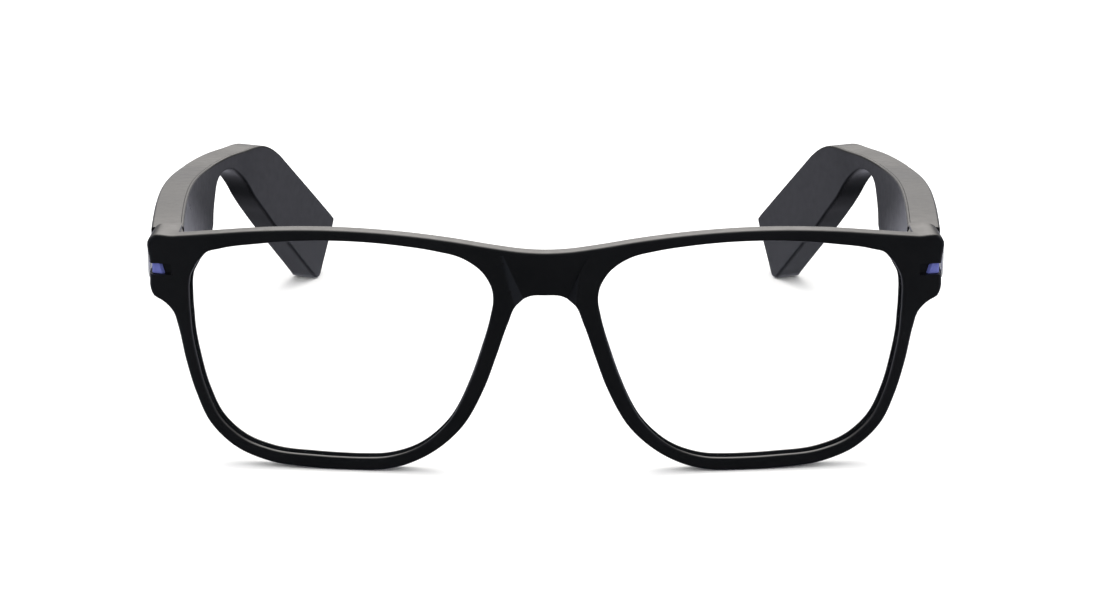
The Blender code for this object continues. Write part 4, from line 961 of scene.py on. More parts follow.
@dataclass
class TempleForm:
    """Shape of a temple: matching (y, z) points of its top and bottom edges, and its plan."""
    front_y: float = 15.3
    thickness: float = 6.2
    edge_round: float = 0.5
    split_offset: float = 5.55
    split_gap: float = 0.06
    seam_round: float = 0.04
    cover_front_y: float = 18.2
    step: float = 1.3
    bar: tuple = (((15.3, 44.7), (15.3, 32.4)), ((24.0, 44.3), (24.0, 31.8)), ((32.0, 43.75), (32.0, 31.1)),
                  ((47.0, 42.5), (47.0, 29.6)), ((65.0, 41.05), (65.0, 27.4)), ((79.5, 39.45), (80.2, 25.3)),
                  ((82.6, 39.15), (83.3, 24.95)), ((84.0, 39.0), (84.4, 25.8)), ((85.2, 38.95), (85.0, 28.3)))
    neck: tuple = (((87.5, 38.8), (86.9, 31.7)), ((90.0, 38.65), (88.7, 34.1)), ((93.0, 38.5), (91.9, 35.4)),
                   ((96.5, 38.3), (95.3, 35.6)), ((101.0, 37.95), (99.0, 34.8)), ((105.5, 37.65), (103.1, 32.7)))
    hook: tuple = (((110.6, 37.35), (106.2, 29.5)), ((116.0, 35.5), (108.5, 26.2)), ((120.1, 32.8), (111.1, 23.1)))
    tip: tuple = (((126.1, 27.5), (117.0, 17.15)), ((135.2, 19.5), (125.7, 8.75)), ((142.3, 13.2), (133.2, 1.5)),
                  ((143.3, 12.2), (134.3, 0.35)), ((143.0, 11.3), (135.8, 0.0)))
    plan: tuple = ((15.3, 74.3), (26.0, 75.3), (40.0, 76.5), (55.0, 77.4), (66.0, 77.5), (79.0, 77.0),
                   (88.0, 75.9), (96.0, 74.0), (101.0, 72.5), (105.5, 70.5), (109.5, 68.6), (115.0, 66.4),
                   (127.0, 61.4), (139.0, 56.4), (145.0, 53.9))

    def __post_init__(self) -> None:
        """Make the dense plan once."""
        points = np.array(self.plan)
        ends = 2 * points[0] - points[1], 2 * points[-1] - points[-2]
        self.path = smooth_through(points, [6] * (len(points) - 1), *ends)
        self.slopes = np.gradient(self.path[:, 1], self.path[:, 0])

    def point(self, side: Side, y: float, z: float, offset: float) -> tuple[float, float, float]:
        """A point at a distance inwards from the outer face, square to its plan."""
        x = np.interp(y, self.path[:, 0], self.path[:, 1])
        slope = np.interp(y, self.path[:, 0], self.slopes)
        size = math.hypot(1.0, slope)
        return (side.value * (x - offset / size), y + offset * slope / size, z)

    def directions(self, side: Side, start: Pair, end: Pair) -> tuple[Vector, Vector]:
        """Directions along and across a stretch of the outer face between two (y, z) points."""
        first, last = Vector(self.point(side, *start, 0)), Vector(self.point(side, *end, 0))
        along = (last - first).normalized()
        across = Vector((-along.y, along.x, 0)) if side is Side.LEFT else Vector((along.y, -along.x, 0))
        return along, across.normalized()

    def bar_edge(self, y: float, which: int) -> float:
        """Height of the bar's top edge (0) or bottom edge (1)."""
        edge = np.array([pair[which] for pair in self.bar])
        return float(np.interp(y, edge[:, 0], edge[:, 1]))

    def stations(self, first_y: float, last_margin: float = 0.0, step: float = 0.0) -> np.ndarray:
        """Matching points of the top and bottom edges.

        Args:
            first_y: where they start.
            last_margin: how far before the tip they end.
            step: distance between them; the form's own if it is 0.

        Returns:
            An array of (top, bottom) rows, each with y and z.
        """
        pairs = self.bar + self.neck + self.hook
        curved = len(pairs) - 1
        top, bottom = (np.array([pair[which] for pair in pairs + self.tip]) for which in (0, 1))
        counts = [max(1, round(length / (step or self.step))) for length in lengths((top + bottom) / 2)]
        rows = []
        for edge in (top, bottom):
            bend = smooth_through(edge[:curved + 1], counts[:curved], 2 * edge[0] - edge[1], edge[curved + 1])
            run = [start + (end - start) * t
                   for start, end, count in zip(edge[curved:], edge[curved + 1:], counts[curved:])
                   for t in np.arange(count) / count]
            rows.append(np.vstack([bend, run, edge[-1]]))
        top, bottom = rows
        bottom[:, 1] = np.maximum(bottom[:, 1], 0.0)
        from_end = np.linalg.norm((top + bottom - top[-1] - bottom[-1]) / 2, axis=1)
        keep = (top[:, 0] > first_y + 0.3) & (from_end >= last_margin)
        in_bar = bottom[bottom[:, 0] < 80]
        start = [[first_y, np.interp(first_y, top[:, 0], top[:, 1])],
                 [first_y, np.interp(first_y, in_bar[:, 0], in_bar[:, 1])]]
        return np.array([start] + list(zip(top[keep], bottom[keep])))

    def corners(self, low: float, high: float, low_round: float, high_round: float,
                shrink: Sequence[float] = (0.0, 0.0, 0.0)) -> list[tuple[float, bool, float]]:
        """Corners of a section as (inset from the top or bottom edge, from the top, offset).

        Args:
            low: offset of its outer side.
            high: offset of its inner side.
            low_round: radius of the outer corners.
            high_round: radius of the inner corners.
            shrink: how far top and bottom, outer side and inner side draw in.

        Returns:
            The corners in order round the section.
        """
        rim, outer, inner = shrink
        low, high = low + outer, high - inner
        first, second = quarter(low_round, 4), quarter(high_round, 4)
        points = [(i + rim, True, low + o) for i, o in first]
        points += [(i + rim, True, high - o) for i, o in reversed(second)]
        points += [(i + rim, False, high - o) for i, o in second]
        return points + [(i + rim, False, low + o) for i, o in reversed(first)]

    def section(self, side: Side, row: np.ndarray, corners: Sequence[tuple[float, bool, float]]) -> list:
        """One section of a temple at a station."""
        top, bottom = row
        height = np.linalg.norm(bottom - top)
        down = (bottom - top) / height
        points = []
        for from_edge, from_top, offset in corners:
            reach = min(from_edge, 0.45 * height)
            y, z = top + down * reach if from_top else bottom - down * reach
            points.append(self.point(side, y, z, offset))
        return points

    @staticmethod
    def rounded_end(rows: np.ndarray, radius: float, at_start: bool) -> list[tuple[np.ndarray, float]]:
        """Stations that round off an end.

        Args:
            rows: the stations.
            radius: radius of the rounding.
            at_start: whether the first end is rounded, rather than the last.

        Returns:
            (station, how far the section draws in) from the end on, or up to the end.
        """
        first, second = (rows[0], rows[1]) if at_start else (rows[-1], rows[-2])
        span = np.linalg.norm((second - first).mean(axis=0))
        made = []
        for angle in np.linspace(0, math.pi / 2, 5):
            share = radius * (1 - math.cos(angle)) / span
            made.append((first + (second - first) * share, radius * (1 - math.sin(angle))))
        return made if at_start else made[::-1]


@dataclass
class Underside:
    """Directions at a point of the bar's underside: along it, across it and up into it."""
    form: TempleForm
    side: Side
    y: float
    offset: float = 2.8
    reach: float = 2.0

    def __post_init__(self) -> None:
        """Find the place and the directions."""
        def edge_point(y: float) -> Vector:
            """A point of the lower edge's middle line."""
            return Vector(self.form.point(self.side, y, self.form.bar_edge(y, 1), self.offset))

        self.place = edge_point(self.y)
        self.along = (edge_point(self.y + self.reach) - edge_point(self.y - self.reach)).normalized()
        self.across = self.along.cross(Vector((0, 0, 1))).normalized()
        self.up = self.across.cross(self.along).normalized()

    def point(self, u: float, v: float, height: float) -> Vector:
        """The point at u along, v across and a height above the underside."""
        return self.place + self.along * u + self.across * v + self.up * height


@dataclass
class Screw:
    """A pan-head screw with a slot."""
    radius: float = 0.45
    length: float = 2.0
    head_radius: float = 0.75
    head_height: float = 0.35
    slot: tuple[float, float] = (0.16, 0.2)
    clearance: float = 0.1

    def hole(self, seat: Vector, outwards: Vector) -> bmesh.types.BMesh:
        """Cutter of the screw's hole."""
        radius = self.radius + self.clearance
        return turned([(radius, -self.length - 0.3), (radius, 1.0)], seat, outwards, 24)

    def body(self, seat: Vector, outwards: Vector) -> bmesh.types.BMesh:
        """The screw before its slot is cut."""
        top, r = 0.05 + self.head_height, self.head_radius
        profile = [(self.radius - 0.12, -self.length), (self.radius, -self.length + 0.15), (self.radius, 0.05),
                   (r - 0.04, 0.05), (r, 0.1), (r, top - 0.2), (r * 0.93, top - 0.08), (r * 0.78, top - 0.02),
                   (r * 0.6, top)]
        return turned(profile, seat, outwards)

    def dress(self, bench: Bench, name: str, node: str, body: str, seat: Vector, outwards: Vector) -> None:
        """Make, slot and dress the screw."""
        width, depth = self.slot
        outwards = Vector(outwards).normalized()
        along = outwards.cross(Vector((0, 0.3, 1))).normalized()
        centre = Vector(seat) + outwards * (0.05 + self.head_height)
        cutter = boxed(centre, along, outwards, (4 * self.head_radius, 2 * depth, width))
        bench.make(name, self.body(seat, outwards), PALETTE.hinge, body, node, tools=[(cutter, "DIFFERENCE")])


@dataclass
class Hinge:
    """A barrel of three knuckles on a vertical pin, with a leaf on the lug and one in the temple."""
    front: Front
    form: TempleForm
    screw: Screw = field(default_factory=Screw)
    place: tuple[float, float, float] = (67.35, 14.5, 39.0)
    barrel_radius: float = 0.9
    barrel_edge: float = 0.1
    knuckle_height: float = 1.8
    knuckle_gap: float = 0.15
    pin_radius: float = 0.4
    pin_head: tuple[float, float] = (0.75, 0.5)
    running_gap: float = 0.04
    leaf_thickness: float = 0.8
    leaf_height: float = 6.8
    temple_leaf_y: Pair = (20.4, 29.0)
    temple_leaf_offset: float = 3.8
    arm_gap: float = 0.2
    arm_bends: tuple = ((0.1, 0.6), (0.6, 1.7), (3.3, 2.5))
    channel_start: Pair = (0.1, 0.7)
    screw_spread: float = 2.2
    temple_screw_y: Pair = (22.6, 27.0)
    boss_radius: float = 1.2
    wall: float = 1.2
    small_gap: float = 0.1
    touch_gap: float = 0.3
    chamfer: float = 0.08

    def on_axis(self, side: Side, profile: Sequence[Pair], sides: int = 48) -> bmesh.types.BMesh:
        """Turn (radius, z) points about the hinge's axis."""
        return turned(profile, (side.value * self.place[0], self.place[1], 0), (0, 0, 1), sides)

    def barrel(self, side: Side, low: float, high: float) -> bmesh.types.BMesh:
        """A stretch of the barrel with broken edges."""
        radius, broken = self.barrel_radius, self.barrel_edge
        return self.on_axis(side, [(radius - broken, low), (radius, low + broken), (radius, high - broken),
                                   (radius - broken, high)])

    def bore(self, side: Side) -> bmesh.types.BMesh:
        """Cutter of the hole for the pin."""
        z, radius = self.place[2], self.pin_radius + self.running_gap
        return self.on_axis(side, [(radius, z - 8), (radius, z + 8)])

    def knuckle(self, index: int) -> Pair:
        """Lowest and highest z of knuckle -1 (lower), 0 (middle) or 1 (upper)."""
        middle = self.place[2] + index * (self.knuckle_height + self.knuckle_gap)
        return middle - self.knuckle_height / 2, middle + self.knuckle_height / 2

    @staticmethod
    def flat(side: Side, outline: np.ndarray, low: float, high: float, chamfer: float = 0.0) -> bmesh.types.BMesh:
        """A plan outline drawn for the left, extruded upwards on either side."""
        points = np.array([(side.value * x, y) for x, y in outline])
        return prism(points, low, high, upright, chamfer)

    def wall_x(self) -> float:
        """Distance of the lug's inner wall from the middle of the glasses."""
        form, curves, z = self.front.form, self.front.curves, self.place[2]
        foot = form.point(curves.lug_inner_x, z, self.front.rim_thickness)
        rear_x = curves.lug_inner_x + curves.lug_ramp
        rear = form.point(rear_x, z, self.front.lug_rear_y - form.surface_y(rear_x, z))
        return min(foot[0], rear[0])

    def front_seats(self, side: Side) -> list[tuple[str, Vector, Vector]]:
        """(name, seat, direction) of the two screws in the lug."""
        x, y0, y1 = self.front_leaf_span()
        face = side.value * (x - self.leaf_thickness / 2)
        return [(name, Vector((face, (y0 + y1) / 2, self.place[2] + sign * self.screw_spread)),
                 Vector((-side.value, 0, 0))) for name, sign in (("lower", -1), ("upper", 1))]

    def front_leaf_span(self) -> tuple[float, float, float]:
        """X of the front leaf's middle, and its first and last y."""
        x = self.wall_x() - self.small_gap - self.leaf_thickness / 2
        low = self.place[2] - self.leaf_height / 2
        y0 = self.front.form.surface_y(self.front.curves.lug_inner_x, low) + self.front.rim_thickness + self.touch_gap
        return x, y0, self.place[1] - self.barrel_radius

    def dress_front_leaf(self, side: Side, bench: Bench) -> None:
        """The leaf on the lug's inner wall, with the upper and lower knuckles, its screws and the pin."""
        x, y0, y1 = self.front_leaf_span()
        low, high = self.place[2] - self.leaf_height / 2, self.place[2] + self.leaf_height / 2
        leaf = self.flat(side, strip([(x, y0), (x, y1)], self.leaf_thickness), low, high, self.chamfer)
        steps = []
        for index in (-1, 1):
            z0, z1 = self.knuckle(index)
            arm = strip([(x, y1 - 0.8), (x - 0.1, y1), (self.place[0] + 0.5, self.place[1] - 0.6)],
                        self.leaf_thickness * 0.9)
            steps.append((self.flat(side, arm, z0 + 0.02, z1 - 0.02), "UNION"))
            steps.append((self.barrel(side, z0, z1), "UNION"))
        steps.append((self.bore(side), "DIFFERENCE"))
        seats = self.front_seats(side)
        steps += [(self.screw.hole(seat, outwards), "DIFFERENCE") for _, seat, outwards in seats]
        bench.make(f"lug_leaf_{side.word}", leaf, PALETTE.hinge, "front", f"hinge_front_leaf_{side.word}",
                   tools=steps)
        for name, seat, outwards in seats:
            self.screw.dress(bench, f"lug_screw_{name}_{side.word}", f"hinge_front_screw_{name}_{side.word}",
                             "front", seat, outwards)
        self.dress_pin(side, bench)

    def dress_pin(self, side: Side, bench: Bench) -> None:
        """The slotted pin through the knuckles."""
        low, high = self.knuckle(-1)[0], self.knuckle(1)[1] + self.small_gap
        radius, (head, height) = self.pin_radius, self.pin_head
        profile = [(radius - 0.1, low), (radius, low + 0.1), (radius, high), (head - 0.05, high),
                   (head, high + 0.05), (head, high + height * 0.6), (head * 0.9, high + height * 0.85),
                   (head * 0.7, high + height)]
        slot_centre = Vector((side.value * self.place[0], self.place[1], high + height))
        cutter = boxed(slot_centre, Vector((1, 0.6, 0)), Vector((0, 0, 1)), (4.0, 0.4, 0.2))
        bench.make(f"pivot_pin_{side.word}", self.on_axis(side, profile, 40), PALETTE.hinge, "front",
                   f"hinge_pin_{side.word}", tools=[(cutter, "DIFFERENCE")])

    def arm_path(self) -> list[Pair]:
        """Plan of the arm from the middle knuckle into the temple, for the left."""
        x, plan_y, _ = self.form.point(Side.LEFT, self.temple_leaf_y[0], self.place[2], self.temple_leaf_offset)
        hinge_x, hinge_y, _ = self.place
        return [(hinge_x + across, hinge_y + back) for across, back in self.arm_bends] + [
            (x - 0.05, plan_y - 1.4), (x + 0.05, plan_y + 0.6)]

    def temple_seats(self, side: Side) -> list[tuple[str, Vector, Vector, Vector]]:
        """(name, root of the boss, seat, direction) of the two screws in the temple."""
        made = []
        for name, y in zip(("front", "rear"), self.temple_screw_y):
            root = Vector(self.form.point(side, y, self.place[2], self.wall - 0.3))
            seat = Vector(self.form.point(side, y, self.place[2], self.temple_leaf_offset + self.leaf_thickness / 2))
            made.append((name, root, seat, (seat - root).normalized()))
        return made

    def dress_temple_leaf(self, side: Side, bench: Bench) -> None:
        """The leaf inside the temple, with the middle knuckle and its screws."""
        ends = [Vector(self.form.point(side, y, self.place[2], self.temple_leaf_offset)) for y in self.temple_leaf_y]
        along, across = self.form.directions(side, *((y, self.place[2]) for y in self.temple_leaf_y))
        size = ((ends[1] - ends[0]).length, self.leaf_thickness, self.leaf_height * 0.8)
        leaf = boxed((ends[0] + ends[1]) / 2, along, across, size, self.chamfer)
        z0, z1 = self.knuckle(0)
        seats = self.temple_seats(side)
        steps = [(self.flat(side, strip(self.arm_path(), self.leaf_thickness), z0 + 0.02, z1 - 0.02), "UNION"),
                 (self.barrel(side, z0, z1), "UNION"), (self.bore(side), "DIFFERENCE")]
        steps += [(self.screw.hole(seat, outwards), "DIFFERENCE") for _, _, seat, outwards in seats]
        body = f"temple_{side.word}"
        bench.make(f"temple_leaf_{side.word}", leaf, PALETTE.hinge, body, f"hinge_temple_leaf_{side.word}",
                   tools=steps)
        for name, _, seat, outwards in seats:
            self.screw.dress(bench, f"temple_screw_{name}_{side.word}", f"hinge_temple_screw_{name}_{side.word}",
                             body, seat, outwards)

    def shell_tools(self, side: Side) -> list[tuple[bmesh.types.BMesh, str]]:
        """What the hinge needs in the temple's shell: the channel of the arm, the bosses and their holes."""
        z0, z1 = self.knuckle(0)
        start = (self.place[0] + self.channel_start[0], self.place[1] + self.channel_start[1])
        channel = strip([start] + self.arm_path()[1:], self.leaf_thickness + 2 * self.arm_gap)
        tools = [(self.flat(side, channel, z0 - self.arm_gap, z1 + self.arm_gap), "DIFFERENCE")]
        top = self.temple_leaf_offset - self.leaf_thickness / 2 - self.small_gap - self.wall + 0.3
        for _, root, seat, outwards in self.temple_seats(side):
            boss = turned([(self.boss_radius, 0.0), (self.boss_radius, top)], root, outwards)
            tools += [(boss, "UNION"), (self.screw.hole(seat, outwards), "DIFFERENCE")]
        return tools


@dataclass(frozen=True)
class Key:
    """A key in the bar's underside: a rounded head that shows and a flange that keeps it in."""
    y: float
    length: float
    flange_gap: float
    width: float = 2.2
    clearance: float = 0.2
    proud: float = 0.5
    flange: float = 0.3
    flange_height: float = 0.5
    crown: float = 0.3
    wall: float = 1.2

    def body(self, spot: Underside) -> bmesh.types.BMesh:
        """The key, its edge rounded."""
        head = stadium(self.length / 2, self.width / 2)
        low = self.wall + self.flange_gap
        flange = stadium(self.length / 2 + self.flange, self.width / 2 + self.flange)
        levels = [(inset(head, self.crown * 2.2), -self.proud), (inset(head, self.crown * 1.5), -self.proud + 0.02)]
        levels += [(inset(head, across), along - self.proud + 0.02) for across, along in quarter(self.crown, 4)]
        levels += [(head, low), (flange, low), (flange, low + self.flange_height)]
        return lofted([[spot.point(u, v, height) for u, v in outline] for outline, height in levels])

    def opening(self, spot: Underside) -> bmesh.types.BMesh:
        """Cutter of the slot that the key sits in."""
        outline = stadium(self.length / 2 + self.clearance, self.width / 2 + self.clearance)
        return prism(outline, -2.0, self.wall + 0.6, spot.point)


@dataclass
class Temple:
    """One temple: shell, cover, keys, contacts, grille, light and what it holds."""
    bench: Bench
    side: Side
    form: TempleForm
    hinge: Hinge
    wall: float = 1.2
    pocket_front_y: float = 19.6
    pocket_rear_margin: float = 3.0
    end_round: float = 0.15
    tip_round: float = 0.45
    row_margin: float = 0.3
    shoulder: float = 0.01
    button: Key = Key(38.0, 8.0, 0.1)
    rocker: Key = Key(54.0, 12.0, 6.3 * math.sin(math.radians(2.5)) + 0.1)
    grille: Key = Key(71.5, 9.0, 0.0, width=1.8)
    grille_rise: float = 0.3
    grille_thickness: float = 0.6
    grille_chamfer: float = 0.06
    grille_rows: tuple = ((-0.38, 8), (0.38, 9))
    grille_pitch: float = 0.88
    grille_hole_radius: float = 0.24
    grille_hole_sides: int = 14
    contact_y: Pair = (24.0, 29.5)
    contact_radius: float = 0.8
    contact_height: float = 1.8
    light_place: Pair = (49.0, 39.5)
    light_radius: float = 0.6
    mic_y: float = 17.0
    mic_size: tuple[float, float, float] = (2.2, 1.8, 0.5)
    mic_offset: float = 3.6
    small_gap: float = 0.1

    @property
    def body(self) -> str:
        """The body that the temple's pieces ride on."""
        return f"temple_{self.side.word}"

    def whole_section(self, row: np.ndarray, shrink: float = 0.0) -> list:
        """A section of the shell ahead of the cover, drawn in on every side."""
        form = self.form
        return form.section(self.side, row, form.corners(0.0, form.thickness, form.edge_round, form.edge_round,
                                                         (shrink,) * 3))

    def shell_section(self, row: np.ndarray, shrink: float = 0.0) -> list:
        """A section of the shell beside the cover, drawn in at its top, bottom and outer side."""
        form = self.form
        return form.section(self.side, row, form.corners(0.0, form.split_offset, form.edge_round, form.seam_round,
                                                         (shrink, shrink, 0.0)))

    def cover_section(self, row: np.ndarray, rim: float = 0.0, inner: float = 0.0) -> list:
        """A section of the cover, drawn in at its top and bottom and at its inner side."""
        form = self.form
        return form.section(self.side, row, form.corners(form.split_offset + form.split_gap, form.thickness,
                                                         form.seam_round, form.edge_round, (rim, 0.0, inner)))

    def shell_sections(self) -> list[list]:
        """Sections of the shell from the hinge to the tip."""
        form = self.form
        rows = form.stations(form.front_y)
        made = [self.whole_section(*end) for end in form.rounded_end(rows, self.end_round, True)]
        made += [self.whole_section(row) for row in rows[1:] if row[0][0] < form.cover_front_y - self.row_margin]
        open_rows = form.stations(form.cover_front_y)
        made.append(self.whole_section(open_rows[0]))
        open_rows[0][:, 0] += self.shoulder
        made += [self.shell_section(row) for row in open_rows[:-1]]
        return made + [self.shell_section(*end) for end in form.rounded_end(open_rows, self.tip_round, False)]

    def pocket(self) -> bmesh.types.BMesh:
        """Cutter of the room for the electronics."""
        wall, deep = self.wall, self.form.split_offset + 1
        corners = [(wall, False, wall), (wall, True, wall), (wall, True, deep), (wall, False, deep)]
        rows = self.form.stations(self.pocket_front_y, self.pocket_rear_margin, 2.9)
        between = [rows[0], *(rows[:-1] + rows[1:]) / 2, rows[-1]]
        return lofted([self.form.section(self.side, row, corners) for row in between])

    def dress_shell(self) -> None:
        """The shell with its pocket, its openings and its bosses."""
        tools = [(self.pocket(), "DIFFERENCE"), *self.hinge.shell_tools(self.side)]
        z = self.form.bar_edge(self.mic_y, 0)
        centre = Vector(self.form.point(self.side, self.mic_y, z, self.mic_offset))
        tools.append((boxed(centre, Vector((1, 0, 0)), Vector((0, 0, 1)), self.mic_size), "DIFFERENCE"))
        for y in self.contact_y:
            spot, radius = Underside(self.form, self.side, y), self.contact_radius + self.small_gap
            tools.append((turned([(radius, -1.5), (radius, self.wall + 0.5)], spot.place, spot.up), "DIFFERENCE"))
        for key in (self.button, self.grille, *([self.rocker] if self.side is Side.RIGHT else [])):
            tools.append((key.opening(Underside(self.form, self.side, key.y)), "DIFFERENCE"))
        self.bench.make(f"temple_casing_{self.side.word}", lofted(self.shell_sections()), PALETTE.casing, self.body,
                        f"temple_shell_{self.side.word}", tools=tools)

    def dress_cover(self) -> None:
        """The inner cover, with the hole of the light on the right."""
        form, side = self.form, self.side
        rows = form.stations(form.cover_front_y + form.split_gap)
        seam, tip = form.rounded_end(rows, form.seam_round, True), form.rounded_end(rows, self.tip_round, False)
        sections = [self.cover_section(row, 0.0, shrink) for row, shrink in seam]
        sections += [self.cover_section(row) for row in rows[1:-1]]
        sections += [self.cover_section(row, shrink, min(shrink, form.seam_round)) for row, shrink in tip]
        tools = []
        if side is Side.RIGHT:
            start, axis = self.light_axis()
            radius = self.light_radius + self.small_gap / 2
            tools.append((turned([(radius, -1.0), (radius, 3.0)], start, axis), "DIFFERENCE"))
        self.bench.make(f"temple_lid_{side.word}", lofted(sections), PALETTE.lid, self.body,
                        f"temple_cover_{side.word}", tools=tools)

    def light_axis(self) -> tuple[Vector, Vector]:
        """Start and direction of the light in the cover."""
        start = Vector(self.form.point(self.side, *self.light_place, self.form.split_offset + self.form.split_gap))
        end = Vector(self.form.point(self.side, *self.light_place, self.form.thickness))
        return start, (end - start).normalized()

    def dress_light(self) -> None:
        """The light's window, domed a little."""
        start, axis = self.light_axis()
        r, top = self.light_radius, self.form.thickness - self.form.split_offset - self.form.split_gap
        profile = [(r, 0.0), (r, top - 0.12), (r * 0.9, top - 0.05), (r * 0.5, top - 0.02)]
        self.bench.make("light_window_right", turned(profile, start, axis), PALETTE.light, self.body,
                        "status_light_right")

    def dress_controls(self) -> None:
        """The button and, on the right, the rocker."""
        keys = [("button_cap", "action_button", self.button)]
        if self.side is Side.RIGHT:
            keys.append(("rocker_cap", "volume_rocker", self.rocker))
        for name, node, key in keys:
            whole = f"{node}_{self.side.word}"
            self.bench.make(f"{name}_{self.side.word}", key.body(Underside(self.form, self.side, key.y)),
                            PALETTE.keys, whole, whole)

    def dress_contacts(self) -> None:
        """The two gold pins, flush with the underside."""
        r, top = self.contact_radius, self.contact_height
        profile = [(r * 0.75, 0.0), (r * 0.93, 0.03), (r, 0.12), (r, top - 0.1), (r - 0.1, top)]
        for number, y in enumerate(self.contact_y, start=1):
            spot = Underside(self.form, self.side, y)
            self.bench.make(f"contact_pin_{number}_{self.side.word}", turned(profile, spot.place, spot.up),
                            PALETTE.gold, self.body, f"charge_contact_{number}_{self.side.word}")

    def dress_grille(self) -> None:
        """The perforated plate over the sound outlet."""
        spot, key = Underside(self.form, self.side, self.grille.y), self.grille
        outline = stadium(key.length / 2, key.width / 2)
        low, high = self.grille_rise, self.grille_rise + self.grille_thickness
        plate = prism(outline, low, high, spot.point, self.grille_chamfer)
        holes = bmesh.new()
        radius, sides = self.grille_hole_radius, self.grille_hole_sides
        angles = np.arange(sides) * math.tau / sides
        for row, count in self.grille_rows:
            for i in range(count):
                u = (i - (count - 1) / 2) * self.grille_pitch
                ring = [(u + radius * math.cos(a), row + radius * math.sin(a)) for a in angles]
                loft(holes, [[spot.point(*p, height) for p in ring] for height in (low - 0.5, high + 0.5)])
        self.bench.make(f"outlet_mesh_{self.side.word}", plate, PALETTE.shield, self.body,
                        f"speaker_grille_{self.side.word}", tools=[(holes, "DIFFERENCE")])

    def dress(self) -> None:
        """Make every piece of the temple."""
        self.dress_shell()
        self.dress_cover()
        self.hinge.dress_temple_leaf(self.side, self.bench)
        self.dress_controls()
        self.dress_contacts()
        self.dress_grille()
        if self.side is Side.RIGHT:
            self.dress_light()


@dataclass
class CarriedOver:
    """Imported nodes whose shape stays, with the finish that each gets."""
    nodes: dict[str, bpy.types.Object]
    bench: Bench
    finishes: tuple = (("main_board", PALETTE.board), ("shield_can", PALETTE.shield), ("speaker", PALETTE.keys),
                       ("microphone", PALETTE.shield), ("battery_lead", PALETTE.sleeve), ("battery", PALETTE.foil),
                       ("button_switch", PALETTE.board), ("rocker_switch", PALETTE.board))

    def dress(self) -> None:
        """Give each node that still shows its finish."""
        for name, node in sorted(self.nodes.items()):
            if node.hide_render:
                continue
            finish = next((f for start, f in self.finishes if name.startswith(start)), PALETTE.hinge)
            for slot in node.material_slots:
                slot.material = finish.material()
            LOG.info("%s keeps its shape, in %s", name, finish.name)


# Studio

